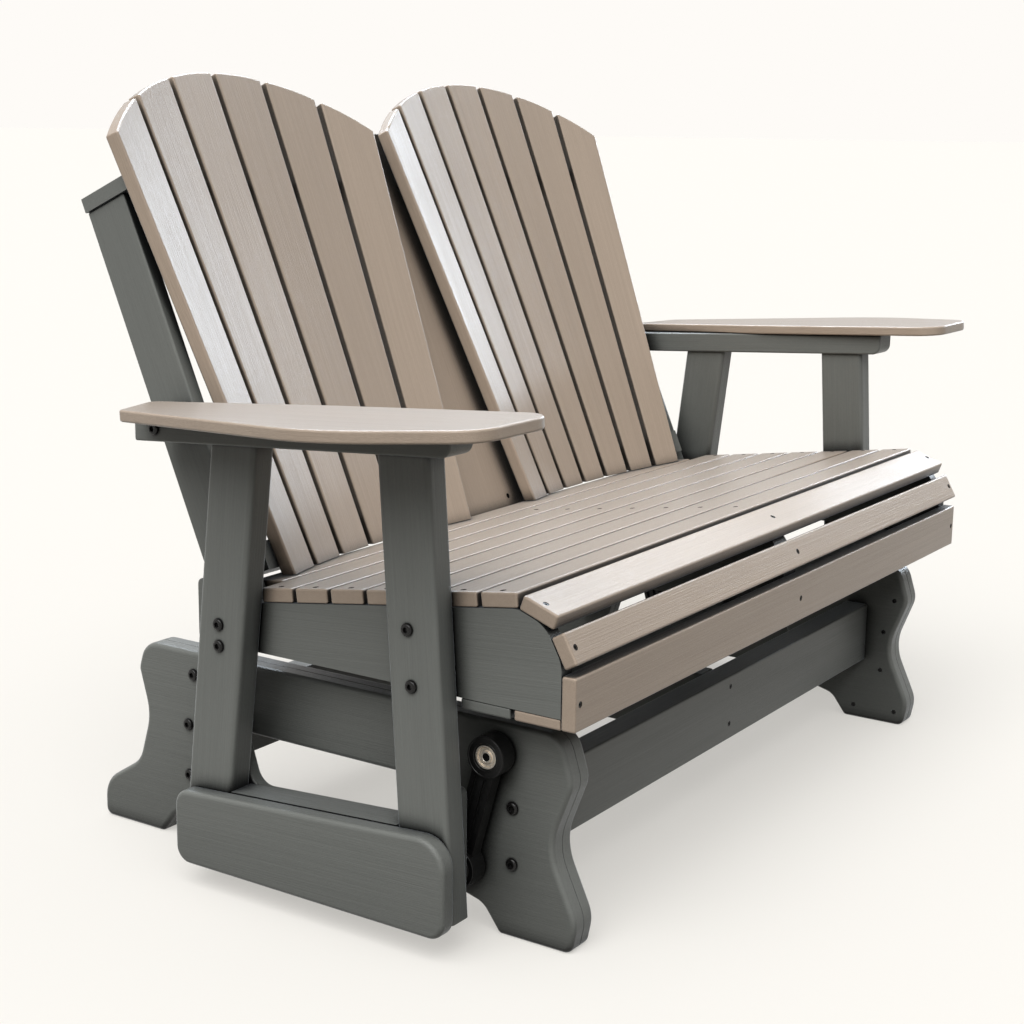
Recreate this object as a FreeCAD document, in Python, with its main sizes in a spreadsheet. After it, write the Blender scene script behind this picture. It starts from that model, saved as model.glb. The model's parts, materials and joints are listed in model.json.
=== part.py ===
import FreeCAD, Part
import math
import os
import Sketcher

# Glider loveseat in poly lumber: a splay-legged base that stands still, four swing links
# hung inside it, and a two-place seat with fanned backs that glides on those links.
# Axes: X across the seat, Y from the front (minus) to the rear (plus), Z up from the floor.

doc = FreeCAD.newDocument("glider_loveseat")
sheet = doc.addObject("Spreadsheet::Sheet", "Sizes")

# The driving dimensions, in millimetres, degrees or counts.
sizes = {
    # Lumber stock
    "slat_thickness": 19,
    "seat_slat_width": 50.8,
    "nose_slat_width": 50,
    "front_slat_width": 40,
    "fascia_width": 65,
    "frame_thickness": 38,
    "side_rail_thickness": 22,
    "upright_thickness": 22,
    "skirt_thickness": 25,
    "lower_plate_thickness": 19,
    "ply_thickness": 22,
    "under_board_thickness": 14,
    "board_round": 3,
    "skirt_round": 6,
    "post_round": 7,
    "panel_round": 6.5,
    "panel_seam_round": 1.2,
    "contact_gap": 0.2,
    # Seat
    "seat_length": 1194,
    "seat_crest_height": 452,
    "seat_crest_reach": 341.5,
    "seat_slope": 8,
    "seat_slat_gap": 5.5,
    "seat_slat_count": 7,
    "crest_gap": 10,
    "nose_slope": 20,
    "front_slope": 61,
    "front_slat_lead": 7,
    "front_slat_drop": 18,
    "fascia_setback": 1.73,
    "fascia_gap": 16,
    "rail_bottom": 313,
    "rail_rear_reach": 150,
    "rail_rear_top": 396,
    "rail_rear_lip": 36,
    "rail_bend_round": 45,
    "under_slat_width": 63.5,
    "under_board_width": 70,
    "under_gap": 5,
    "rear_slat_width": 50.8,
    "rear_slat_end_gap": 3,
    "cross_rail_bottom": 320,
    # Posts and lower side rails
    "post_width": 74,
    "post_foot": 42,
    "post_level": 313,
    "front_post_reach": 226,
    "front_post_lean": 3.9,
    "rear_post_reach": 82.5,
    "rear_post_lean": 6.4,
    "skirt_bottom": 31,
    "skirt_rear_reach": 141,
    "skirt_front_reach": 286,
    "skirt_rear_height": 98,
    "skirt_front_height": 126,
    "skirt_corner": 22,
    "skirt_front_corner": 38,
    "filler_drop": 8,
    "plate_bottom": 38,
    "plate_rear_reach": 132,
    "plate_front_reach": 264,
    "plate_horn_top": 196,
    "plate_horn_width": 50,
    "plate_scoop_slant": 22,
    "plate_sill": 5,
    "plate_scoop_round": 26,
    "plate_corner": 9,
    # Arms
    "arm_slope": 3.6,
    "arm_rail_level": 587,
    "arm_rail_height": 33,
    "arm_rail_overlap": 5,
    "arm_rail_rear_reach": 213,
    "arm_rail_front_reach": 278,
    "arm_rail_corner": 14,
    "armrest_thickness": 15,
    "armrest_rear_reach": 206,
    "armrest_front_reach": 383,
    "armrest_rear_skew": 31,
    "armrest_rear_inner": 615,
    "armrest_rear_outer": 703,
    "armrest_bulge": 788,
    "armrest_bulge_reach": 200,
    "armrest_front_outer": 728,
    "armrest_front_inner": 577,
    "armrest_waist_inner": 588,
    "armrest_waist_reach": 66,
    "armrest_rear_corner": 12,
    "armrest_outer_corner": 48,
    "armrest_inner_corner": 40,
    "armrest_sweep": 260,
    "armrest_waist_round": 300,
    # Back
    "recline": 23.5,
    "back_reach": 96.3,
    "back_height": 392,
    "fan_centre": 303.8,
    "fan_bottom_width": 446.6,
    "fan_top_width": 586,
    "fan_edge_length": 607,
    "fan_peak_length": 706,
    "fan_top_radius": 448,
    "fan_top_offset": 11,
    "fan_dish": 42.5,
    "fan_yaw": 2.9,
    "fan_slat_gap": 10,
    "left_slat_count": 6,
    "right_slat_count": 7,
    "back_slat_tail": 60,
    "seat_to_back_gap": 1.5,
    "wedge_recess": 16,
    "wedge_bottom_half": 116,
    "wedge_top_half": 78,
    "wedge_length": 623,
    "wedge_tail": 30,
    "wedge_screw_half": 70,
    "upright_width": 72,
    "upright_rear_face": 52.3,
    "upright_foot": 54.7,
    "upright_length": 578,
    "lower_back_rail_level": 5,
    "lower_back_rail_thickness": 38,
    "lower_screw_rise": 10,
    "top_back_rail_thickness": 19,
    "top_back_rail_overhang": 3,
    "back_rail_gap": 1.3,
    "wedge_margin": 3,
    # Base
    "link_space": 34,
    "panel_top": 272,
    "shoulder_front_reach": 389,
    "shoulder_height": 213,
    "crown_front_reach": 370,
    "waist_front_reach": 357,
    "waist_height": 128,
    "foot_front_reach": 398,
    "foot_height": 40,
    "toe_front_reach": 390,
    "crown_rear_reach": 306,
    "shoulder_rear_reach": 318,
    "shoulder_rear_height": 232,
    "waist_rear_reach": 300,
    "waist_rear_height": 168,
    "ankle_rear_reach": 322,
    "ankle_height": 96,
    "foot_rear_reach": 392,
    "instep_rear_height": 52,
    "heel_front_reach": 287,
    "heel_rear_reach": 280,
    "heel_slant": 25,
    "heel_height": 33,
    "heel_corner": 7.5,
    "arch_spring": 57,
    "arch_spring_height": 48,
    "arch_half_width": 158,
    "arch_height": 176,
    "toe_round": 12,
    "foot_round": 45,
    "waist_round": 75,
    "shoulder_round": 34,
    "crown_round": 32,
    "arch_round": 40,
    "heel_round": 28,
    "stretcher_bottom": 104,
    "stretcher_height": 96,
    "front_stretcher_reach": 320,
    "rear_stretcher_reach": 200,
    # Swing links
    "link_centre_reach": 69,
    "upper_pivot_half": 216,
    "lower_pivot_half": 175,
    "upper_pivot_height": 236,
    "lower_pivot_height": 86,
    "link_width": 24,
    "link_boss_radius": 26,
    "link_arm_width": 30,
    "link_arm_thickness": 18,
    "link_groove_width": 6,
    "link_groove_offset": 6.5,
    "link_groove_depth": 4,
    "bearing_radius": 15,
    "bearing_width": 10,
    "bearing_recess": 1,
    "race_thickness": 3.2,
    "shield_recess": 0.8,
    "pivot_radius": 5,
    "pivot_clearance": 0.05,
    "pivot_shoulder_radius": 8,
    "pivot_side_gap": 0.5,
    "pivot_head_radius": 9,
    "pivot_head_height": 6,
    "open_pivot_clearance": 4.4,
    # Fasteners
    "bolt_head_radius": 6.6,
    "bolt_head_height": 4.5,
    "bolt_shank_radius": 3.5,
    "bolt_end_cover": 2,
    "arm_spacer_radius": 11,
    "screw_head_radius": 3.8,
    "screw_head_height": 3,
    "screw_shank_radius": 2,
    "screw_length": 38,
    "screw_sink": 0.6,
    "back_screw_setback": 30,
    "back_screw_bite": 11,
    "hole_clearance": 0.15,
    "rear_bolt_reach": 80,
    "rear_bolt_high": 353,
    "rear_bolt_low": 325,
    "front_bolt_high_reach": 216,
    "front_bolt_high": 396,
    "front_bolt_low_reach": 222,
    "front_bolt_low": 328,
    "arm_bolt_reach": 178,
    "leg_bolt_front_reach": 306,
    "leg_bolt_rear_reach": 224,
    "leg_bolt_high": 168,
    "leg_bolt_low": 96,
    "leg_bolt_top_reach": 213,
    "leg_bolt_top": 240,
    "stretcher_bolt_bite": 45,
    "brace_screw_high": 184,
    "brace_screw_low": 128,
}
for row, (name, number) in enumerate(sizes.items(), 1):
    sheet.set("A%d" % row, name)
    sheet.set("B%d" % row, str(number))
    sheet.setAlias("B%d" % row, name)
doc.recompute()


def amount(name):
    """Reads one dimension back from the sheet."""
    return float(sheet.get(name))


def vec(x, y, z):
    return FreeCAD.Vector(x, y, z)


X_AXIS = vec(1, 0, 0)
Y_AXIS = vec(0, 1, 0)
SIDEWAYS = FreeCAD.Rotation(vec(1, 1, 1), 120)
FLAT = FreeCAD.Rotation()
HANDS = (("left", -1), ("right", 1))

half_seat = amount("seat_length") / 2
post_outer = half_seat + amount("frame_thickness")
upright_outer = half_seat - amount("side_rail_thickness")
upright_inner = upright_outer - amount("upright_thickness")
plate_inner = half_seat - amount("lower_plate_thickness")
base_outer = plate_inner - amount("link_space")
base_inner = base_outer - 2 * amount("ply_thickness")
seat_tan = math.tan(math.radians(amount("seat_slope")))
arm_tan = math.tan(math.radians(amount("arm_slope")))
pieces = []


def place(x, y, z, turn=FLAT):
    """A placement with Y counted from the middle of the base."""
    return FreeCAD.Placement(vec(x, y + middle, z), turn)


def hand_x(hand, inner, thickness):
    """Lowest X of a board that stands from inner outwards on one hand of the seat."""
    if hand > 0:
        return inner
    return -inner - thickness


def piece(obj, label):
    """Registers a finished document object as one named piece."""
    obj.Label = label
    pieces.append(obj)
    return obj


def new_body(name):
    body = doc.addObject("PartDesign::Body", name)
    return body


def new_sketch(body, name):
    """Sketch on the body's own XY plane."""
    sketch = body.newObject("Sketcher::SketchObject", name)
    plane = [item for item in body.Origin.OriginFeatures if item.Role == "XY_Plane"][0]
    sketch.AttachmentSupport = (plane, [""])
    sketch.MapMode = "FlatFace"
    return sketch


def pad(body, sketch, thickness, centred):
    feature = body.newObject("PartDesign::Pad", sketch.Name + "_pad")
    feature.Profile = sketch
    feature.setExpression("Length", thickness)
    if centred:
        feature.SideType = "Symmetric"
    doc.recompute()
    return feature


def ease(body, feature, radius):
    """Rounds every arris of a board."""
    rounding = body.newObject("PartDesign::Fillet", feature.Name + "_round")
    rounding.Base = (feature, ["Edge1"])
    rounding.UseAllEdges = True
    rounding.setExpression("Radius", radius)
    doc.recompute()
    return rounding


def ease_some(body, radius, chosen):
    """Rounds only those arrises of a board that a test picks out."""
    feature = body.Tip
    names = ["Edge%d" % (index + 1) for index, edge in enumerate(feature.Shape.Edges) if chosen(edge)]
    rounding = body.newObject("PartDesign::Fillet", feature.Name + "_round")
    rounding.Base = (feature, names)
    rounding.setExpression("Radius", radius)
    doc.recompute()


def on_face(level):
    """Test for arrises that lie in one face of a board."""
    return lambda edge: all(abs(vertex.Z - level) < amount("contact_gap") for vertex in edge.Vertexes)


def plank(name, along, across, thickness, where):
    """Straight board: length along X, width along Y, thickness along Z, about its middle."""
    body = new_body(name)
    sketch = new_sketch(body, name + "_sketch")
    corners = [vec(-50, -10, 0), vec(50, -10, 0), vec(50, 10, 0), vec(-50, 10, 0)]
    for index in range(4):
        sketch.addGeometry(Part.LineSegment(corners[index], corners[(index + 1) % 4]))
    for index in range(4):
        sketch.addConstraint(Sketcher.Constraint("Coincident", index, 2, (index + 1) % 4, 1))
    sketch.addConstraint(Sketcher.Constraint("Horizontal", 0))
    sketch.addConstraint(Sketcher.Constraint("Horizontal", 2))
    sketch.addConstraint(Sketcher.Constraint("Vertical", 1))
    sketch.addConstraint(Sketcher.Constraint("Vertical", 3))
    sketch.addConstraint(Sketcher.Constraint("Symmetric", 0, 1, 2, 1, -1, 1))
    length = sketch.addConstraint(Sketcher.Constraint("DistanceX", 0, 1, 0, 2, 100.0))
    sketch.renameConstraint(length, "along")
    width = sketch.addConstraint(Sketcher.Constraint("DistanceY", 1, 1, 1, 2, 20.0))
    sketch.renameConstraint(width, "across")
    sketch.setExpression("Constraints.along", along)
    sketch.setExpression("Constraints.across", across)
    feature = pad(body, sketch, thickness, True)
    ease(body, feature, "Sizes.board_round")
    body.Placement = where
    return body


def rounded(corners):
    """Closed outline through corners (x, y, radius): straight runs joined by tangent arcs."""
    geometry = []
    joints = []
    count = len(corners)
    for index in range(count):
        corner = vec(corners[index][0], corners[index][1], 0)
        before = vec(corners[index - 1][0], corners[index - 1][1], 0) - corner
        after = vec(corners[(index + 1) % count][0], corners[(index + 1) % count][1], 0) - corner
        radius = corners[index][2]
        before.normalize()
        after.normalize()
        half = before.getAngle(after) / 2
        reach = radius / math.tan(half)
        first = corner + before * reach
        last = corner + after * reach
        joints.append((first, last))
        if radius > 0:
            inward = before + after
            inward.normalize()
            crown = corner + inward * (radius / math.sin(half) - radius)
            geometry.append(Part.Arc(first, crown, last))
    for index in range(count):
        geometry.append(Part.LineSegment(joints[index][1], joints[(index + 1) % count][0]))
    return geometry


def outline_board(name, geometry, thickness, where, rounding="Sizes.board_round"):
    """Board of the given outline, padded upwards from its sketch and eased all round."""
    body = new_body(name)
    sketch = new_sketch(body, name + "_sketch")
    sketch.addGeometry(geometry)
    feature = pad(body, sketch, thickness, False)
    if rounding:
        ease(body, feature, rounding)
    body.Placement = where
    return body


def drilled(board, tools, name):
    """Board with the holes of each set of fasteners cut out of it."""
    result = board
    for index, tool in enumerate(tools):
        cut = doc.addObject("Part::Cut", "%s_holes_%d" % (name, index))
        cut.Base = result
        cut.Tool = tool
        result = cut
    doc.recompute()
    return result


def group(name, shapes):
    """Several like solids held together as one document object."""
    feature = doc.addObject("Part::Feature", name)
    feature.Shape = Part.makeCompound(shapes)
    return feature


def meet(start, heading, other, other_heading):
    """Crossing point of two straight lines in a plane."""
    turn = heading[0] * other_heading[1] - heading[1] * other_heading[0]
    offset = (other[0] - start[0], other[1] - start[1])
    reach = (offset[0] * other_heading[1] - offset[1] * other_heading[0]) / turn
    return (start[0] + heading[0] * reach, start[1] + heading[1] * reach)


# Side view of the seat: the flat run rises to a crest, then the nose, front and fascia
# slats turn down over the front of the rails. Points are (y, z).
slat = amount("slat_thickness")
slope_turn = FreeCAD.Rotation(X_AXIS, -amount("seat_slope"))


def heading(angle):
    """Unit direction forwards and downwards at an angle below level, with its inward normal."""
    turn = math.radians(angle)
    along = (-math.cos(turn), -math.sin(turn))
    inward = (math.sin(turn), -math.cos(turn))
    return along, inward


def step(point, direction, distance):
    return (point[0] + direction[0] * distance, point[1] + direction[1] * distance)


def seat_top(y):
    """Height of the seat's upper surface."""
    return amount("seat_crest_height") - (y + amount("seat_crest_reach")) * seat_tan


def slat_place(front, angle, width):
    """Placement of a slat whose upper front arris starts at front and runs down at angle."""
    along, inward = heading(angle)
    centre = step(step(front, along, width / 2), inward, slat / 2)
    return place(0, centre[0], centre[1], FreeCAD.Rotation(X_AXIS, angle))


crest = (-amount("seat_crest_reach"), amount("seat_crest_height"))
back_along = heading(-amount("seat_slope"))[0]
flat_along = (-back_along[0], -back_along[1])
seat_pitch = amount("seat_slat_width") + amount("seat_slat_gap")
nose_along, nose_inward = heading(amount("nose_slope"))
front_along, front_inward = heading(amount("front_slope"))
nose_start = step(crest, heading(amount("nose_slope") / 2)[0], amount("crest_gap"))
nose_end = step(nose_start, nose_along, amount("nose_slat_width"))
front_start = (nose_end[0] - amount("front_slat_lead"), nose_end[1] - amount("front_slat_drop"))
front_end = step(front_start, front_along, amount("front_slat_width"))

# The fascia hangs under the front slat, a little behind its lower edge. The frame's
# origin lies on the floor, midway between the fascia and the rear feet.
fascia_reach = -front_end[0] - amount("fascia_setback")
fascia_bottom = front_end[1] - amount("fascia_gap") - amount("fascia_width")
middle = (fascia_reach - amount("foot_rear_reach")) / 2

# Fasteners are laid out first, so that every board they pass through is drilled for them.
drill = amount("hole_clearance")


def turned(shape, where):
    copy = shape.copy()
    copy.Placement = where
    return copy


def screw(grow):
    """Countersunk screw pointing down from its seat at the origin, grown all round by grow."""
    sink = amount("screw_sink")
    head = amount("screw_head_height")
    top = Part.makeCylinder(amount("screw_head_radius") + grow, head, vec(0, 0, -sink - head))
    length = amount("screw_length") + grow
    shank = Part.makeCylinder(amount("screw_shank_radius") + grow, length, vec(0, 0, -sink - length))
    if grow:
        mouth = Part.makeCylinder(amount("screw_head_radius") + grow, sink + 1, vec(0, 0, -sink))
        return top.fuse([shank, mouth]).removeSplitter()
    return top.fuse(shank).removeSplitter()


def bolt(length, grow):
    """Dome-headed bolt whose shank points down from the face it bears on."""
    shank = Part.makeCylinder(amount("bolt_shank_radius") + grow, length + grow, vec(0, 0, -length - grow))
    if grow:
        return shank
    head = Part.makeCylinder(amount("bolt_head_radius"), amount("bolt_head_height"))
    rim = [edge for edge in head.Edges if edge.BoundBox.ZMin > amount("bolt_head_height") - 0.01]
    head = head.makeFillet(amount("bolt_head_height") * 0.8, rim)
    return head.fuse(shank).removeSplitter()


def outward(hand):
    """Turn that points a fastener's head outwards on one hand."""
    return FreeCAD.Rotation(Y_AXIS, 90 * hand)


screw_spots = []
rail_middle = half_seat - amount("side_rail_thickness") / 2
screw_rows = (-rail_middle, 0, rail_middle)
flat_spots = []
for number in range(int(amount("seat_slat_count"))):
    flat_spots.append(step(crest, flat_along, seat_pitch * number + amount("seat_slat_width") / 2))
for spot in flat_spots:
    for row in screw_rows:
        screw_spots.append(place(row, spot[0], spot[1], slope_turn))
for start, along, edge in ((nose_start, nose_along, "nose"), (front_start, front_along, "front")):
    spot = step(start, along, amount(edge + "_slat_width") / 2)
    for row in screw_rows:
        turn = FreeCAD.Rotation(X_AXIS, amount(edge + "_slope"))
        screw_spots.append(place(row, spot[0], spot[1], turn))
fascia_middle = fascia_bottom + amount("fascia_width") / 2
for row in screw_rows:
    screw_spots.append(place(row, -fascia_reach, fascia_middle, FreeCAD.Rotation(X_AXIS, 90)))

# The back: both fans stand on one reclined plane. Each fan's slats are cut from a shallow
# cone whose point lies below the seat, so they spread upwards and dish around the sitter.
recline = math.radians(amount("recline"))
back_up = vec(0, math.sin(recline), math.cos(recline))
back_turn = FreeCAD.Rotation(X_AXIS, 90 - amount("recline"))
fan_spread = math.atan((amount("fan_top_width") - amount("fan_bottom_width")) / 2 / amount("fan_edge_length"))
fan_root = amount("fan_bottom_width") / 2 / math.tan(fan_spread)
fan_tip = (fan_root + amount("fan_edge_length") * math.cos(fan_spread)) / math.cos(fan_spread)
fan_curve = (amount("fan_top_width") / 2) ** 2 / 2 / amount("fan_dish") / fan_tip
cone_angle = math.atan(fan_curve)
cone_axis = vec(0, math.cos(cone_angle), math.sin(cone_angle))
cone_turn = 2 * math.asin(math.sin(fan_spread / 2) / math.sin(cone_angle))


def fan_place(hand):
    """Frame at the point of a fan's cone: Y up the middle slat, Z out of the sitting side."""
    root = place(hand * amount("fan_centre"), amount("back_reach"), amount("back_height"), back_turn)
    yaw = FreeCAD.Placement(vec(0, 0, 0), FreeCAD.Rotation(Y_AXIS, -hand * amount("fan_yaw")))
    drop = FreeCAD.Placement(vec(0, -fan_root, 0), FLAT)
    return root.multiply(yaw).multiply(drop)


def slat_turn(number, count):
    """Turn about the cone's axis, in degrees, of one slat of a fan counted from the left."""
    return -math.degrees(cone_turn) * (2 * number - count + 1) / count


def slat_frame(hand, number, count):
    swing = FreeCAD.Rotation(cone_axis, slat_turn(number, count))
    return fan_place(hand).multiply(FreeCAD.Placement(vec(0, 0, 0), swing))


def up_slat(number, count, level):
    """Distance from the cone's point, along one slat, to a level counted up the fan's middle."""
    turn = math.radians(slat_turn(number, count))
    rise = math.cos(cone_angle) ** 2 + math.sin(cone_angle) ** 2 * math.cos(turn)
    return (fan_root + level) / rise


fans = (("left", -1, int(amount("left_slat_count"))), ("right", 1, int(amount("right_slat_count"))))
lower_screw_level = amount("lower_back_rail_level") + amount("lower_screw_rise")
top_rail_bottom = amount("upright_length") - amount("upright_foot")
top_rail_middle = top_rail_bottom + amount("top_back_rail_thickness") / 2
head_depth = slat + amount("back_screw_setback")
back_screw_length = amount("back_screw_setback") + amount("back_screw_bite")
back_screw_spots = []
for fan_name, hand, count in fans:
    for number in range(count):
        frame = slat_frame(hand, number, count)
        for level in (lower_screw_level, top_rail_middle):
            spot = vec(0, up_slat(number, count, level), -head_depth)
            local = FreeCAD.Placement(spot, FreeCAD.Rotation(X_AXIS, 180))
            back_screw_spots.append(frame.multiply(local))


def back_screw(grow):
    """Screw driven from behind the back rails into a slat, its head in a deep counterbore."""
    head = amount("screw_head_height")
    length = back_screw_length + grow
    shank = Part.makeCylinder(amount("screw_shank_radius") + grow, length, vec(0, 0, -length))
    if grow:
        access = Part.makeCylinder(amount("screw_head_radius") + grow, 4 * head_depth, vec(0, 0, -grow))
        return shank.fuse(access).removeSplitter()
    top = Part.makeCylinder(amount("screw_head_radius"), head)
    return top.fuse(shank).removeSplitter()


wedge_frame = place(0, amount("back_reach"), amount("back_height"), back_turn)
wedge_spots = []
for level in (lower_screw_level, top_rail_middle):
    for hand_name, hand in HANDS:
        spot = vec(hand * amount("wedge_screw_half"), level, -amount("wedge_recess"))
        wedge_spots.append(wedge_frame.multiply(FreeCAD.Placement(spot, FLAT)))

screw_solids = [turned(screw(0), spot) for spot in screw_spots + wedge_spots]
screw_solids += [turned(back_screw(0), spot) for spot in back_screw_spots]
slat_screws = group("slat_screws", screw_solids)
seat_screw_holes = group("seat_screw_holes", [turned(screw(drill), spot) for spot in screw_spots])
back_hole_solids = [turned(screw(drill), spot) for spot in wedge_spots]
back_hole_solids += [turned(back_screw(drill), spot) for spot in back_screw_spots]
back_screw_holes = group("back_screw_holes", back_hole_solids)

# Bolts that clamp the posts to the seat rails and uprights, and the arms to the uprights.
arm_rail_outer = post_outer + amount("arm_rail_overlap")
arm_rail_inner = half_seat - amount("arm_rail_overlap")


def arm_low(y):
    """Height of the underside of the arm rails."""
    return amount("arm_rail_level") - y * arm_tan


rear_bolt_length = post_outer - upright_inner - amount("bolt_end_cover")
front_bolt_length = post_outer - upright_outer - amount("bolt_end_cover")
arm_bolt_length = arm_rail_outer - upright_inner - amount("bolt_end_cover")
arm_bolt_high = arm_low(amount("arm_bolt_reach")) + amount("arm_rail_height") / 2
frame_bolt_plan = (
    (post_outer, amount("rear_bolt_reach"), amount("rear_bolt_high"), rear_bolt_length),
    (post_outer, amount("rear_bolt_reach"), amount("rear_bolt_low"), rear_bolt_length),
    (post_outer, -amount("front_bolt_high_reach"), amount("front_bolt_high"), front_bolt_length),
    (post_outer, -amount("front_bolt_low_reach"), amount("front_bolt_low"), front_bolt_length),
    (arm_rail_outer, amount("arm_bolt_reach"), arm_bolt_high, arm_bolt_length),
)
frame_bolt_solids = []
frame_hole_solids = []
for hand_name, hand in HANDS:
    for x, y, z, length in frame_bolt_plan:
        where = place(hand * x, y, z, outward(hand))
        frame_bolt_solids.append(turned(bolt(length, 0), where))
        frame_hole_solids.append(turned(bolt(length, drill), where))
    spacer_length = arm_rail_inner - upright_outer
    spacer = Part.makeCylinder(amount("arm_spacer_radius"), spacer_length)
    spacer = spacer.cut(Part.makeCylinder(amount("bolt_shank_radius") + drill, spacer_length))
    spacer_x = hand * upright_outer
    where = place(spacer_x, amount("arm_bolt_reach"), arm_bolt_high, outward(hand))
    frame_bolt_solids.append(turned(spacer, where))
frame_bolts = group("frame_bolts", frame_bolt_solids)
frame_bolt_holes = group("frame_bolt_holes", frame_hole_solids)

# Pivots of the four swing links. Each pivot bolt has a shoulder that spaces the link off
# the face it is bolted to.
pivot_y = {
    "front": (-amount("link_centre_reach") - amount("upper_pivot_half"),
              -amount("link_centre_reach") - amount("lower_pivot_half")),
    "rear": (-amount("link_centre_reach") + amount("upper_pivot_half"),
             -amount("link_centre_reach") + amount("lower_pivot_half")),
}
link_middle = (base_outer + plate_inner) / 2
link_half = amount("link_width") / 2
shoulder = amount("link_space") / 2 - link_half - amount("pivot_side_gap")


def pivot_bolt(grip, reach, grow):
    """Pivot bolt: head at minus grip, shoulder from zero, bare pivot pin out to reach."""
    radius = amount("pivot_radius")
    grip_radius = radius + grow
    neck = Part.makeCylinder(grip_radius, grip, vec(0, 0, -grip))
    head_height = amount("pivot_head_height")
    head_low = vec(0, 0, -grip - head_height - grow)
    head = Part.makeCylinder(amount("pivot_head_radius") + grow, head_height + grow, head_low)
    if grow:
        return neck.fuse(head).removeSplitter()
    collar = Part.makeCylinder(amount("pivot_shoulder_radius"), shoulder)
    pin = Part.makeCylinder(radius, reach)
    return neck.fuse([head, collar, pin]).removeSplitter()


pin_reach = shoulder + amount("pivot_side_gap") + amount("link_width") - amount("bearing_recess")
upper_grip = 2 * amount("ply_thickness")
lower_grip = amount("lower_plate_thickness") + amount("frame_thickness") - amount("pivot_head_height")
upper_solids = []
upper_holes = []
lower_solids = []
lower_holes = []
for hand_name, hand in HANDS:
    for end in ("front", "rear"):
        upper = place(hand * base_outer, pivot_y[end][0], amount("upper_pivot_height"), outward(hand))
        lower = place(hand * plate_inner, pivot_y[end][1], amount("lower_pivot_height"), outward(-hand))
        upper_solids.append(turned(pivot_bolt(upper_grip, pin_reach, 0), upper))
        upper_holes.append(turned(pivot_bolt(upper_grip, pin_reach, drill), upper))
        lower_solids.append(turned(pivot_bolt(lower_grip, pin_reach, 0), lower))
        lower_holes.append(turned(pivot_bolt(lower_grip, pin_reach, drill), lower))
upper_pivot_bolts = group("upper_pivot_bolts", upper_solids)
upper_pivot_holes = group("upper_pivot_holes", upper_holes)
lower_pivot_bolts = group("lower_pivot_bolts", lower_solids)
lower_pivot_holes = group("lower_pivot_holes", lower_holes)

# Base fasteners: leg bolts seen from outside, ply screws seen from inside, and the screws
# that hold the centre brace between the stretchers.
ply_bolt_length = 2 * amount("ply_thickness") - amount("bolt_end_cover")
stretcher_bolt_length = 2 * amount("ply_thickness") + amount("stretcher_bolt_bite")
leg_bolt_plan = (
    (-amount("leg_bolt_front_reach"), amount("leg_bolt_high"), stretcher_bolt_length),
    (-amount("leg_bolt_front_reach"), amount("leg_bolt_low"), ply_bolt_length),
    (amount("leg_bolt_rear_reach"), amount("leg_bolt_high"), stretcher_bolt_length),
    (amount("leg_bolt_rear_reach"), amount("leg_bolt_low"), ply_bolt_length),
    (amount("leg_bolt_top_reach"), amount("leg_bolt_top"), ply_bolt_length),
)
ply_screw_plan = (
    (-366, 212), (-350, 156), (-348, 90), (-376, 22), (-304, 22),
    (296, 214), (286, 158), (300, 96), (372, 22), (300, 22),
)
base_solids = []
base_holes = []
for hand_name, hand in HANDS:
    for y, z, length in leg_bolt_plan:
        where = place(hand * base_outer, y, z, outward(hand))
        base_solids.append(turned(bolt(length, 0), where))
        base_holes.append(turned(bolt(length, drill), where))
    for y, z in ply_screw_plan:
        where = place(hand * base_inner, y, z, outward(-hand))
        base_solids.append(turned(screw(0), where))
        base_holes.append(turned(screw(drill), where))
front_face = -amount("front_stretcher_reach")
rear_face = amount("rear_stretcher_reach") + amount("frame_thickness")
for high in (amount("brace_screw_high"), amount("brace_screw_low")):
    for y, angle in ((front_face, 90), (rear_face, -90)):
        where = place(0, y, high, FreeCAD.Rotation(X_AXIS, angle))
        base_solids.append(turned(screw(0), where))
        base_holes.append(turned(screw(drill), where))
base_fasteners = group("base_fasteners", base_solids)
base_fastener_holes = group("base_fastener_holes", base_holes)

# Base end panels: two plies of the same outline, with a scrolled front leg, a rear leg that
# flares to its foot, and an arch between them. Their shown faces are rounded over.
panel_outline = [
    (-amount("toe_front_reach"), 0, amount("toe_round")),
    (-amount("foot_front_reach"), amount("foot_height"), amount("foot_round")),
    (-amount("waist_front_reach"), amount("waist_height"), amount("waist_round")),
    (-amount("shoulder_front_reach"), amount("shoulder_height"), amount("shoulder_round")),
    (-amount("crown_front_reach"), amount("panel_top"), amount("crown_round")),
    (amount("crown_rear_reach"), amount("panel_top"), amount("crown_round")),
    (amount("shoulder_rear_reach"), amount("shoulder_rear_height"), amount("shoulder_round") / 2),
    (amount("waist_rear_reach"), amount("waist_rear_height"), amount("waist_round")),
    (amount("ankle_rear_reach"), amount("ankle_height"), amount("foot_round")),
    (amount("foot_rear_reach"), amount("instep_rear_height"), amount("foot_round")),
    (amount("foot_rear_reach"), 0, amount("toe_round")),
    (amount("heel_rear_reach"), 0, amount("heel_corner")),
    (amount("heel_rear_reach") - amount("heel_slant"), amount("heel_height"), amount("heel_round")),
    (amount("heel_rear_reach") - amount("heel_slant") - amount("arch_spring"),
     amount("arch_spring_height"), amount("arch_round")),
    (amount("arch_half_width"), amount("arch_height"), amount("arch_round")),
    (-amount("arch_half_width"), amount("arch_height"), amount("arch_round")),
    (-amount("heel_front_reach") + amount("heel_slant") + amount("arch_spring"),
     amount("arch_spring_height"), amount("arch_round")),
    (-amount("heel_front_reach") + amount("heel_slant"), amount("heel_height"), amount("heel_round")),
    (-amount("heel_front_reach"), 0, amount("heel_corner")),
]
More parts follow.
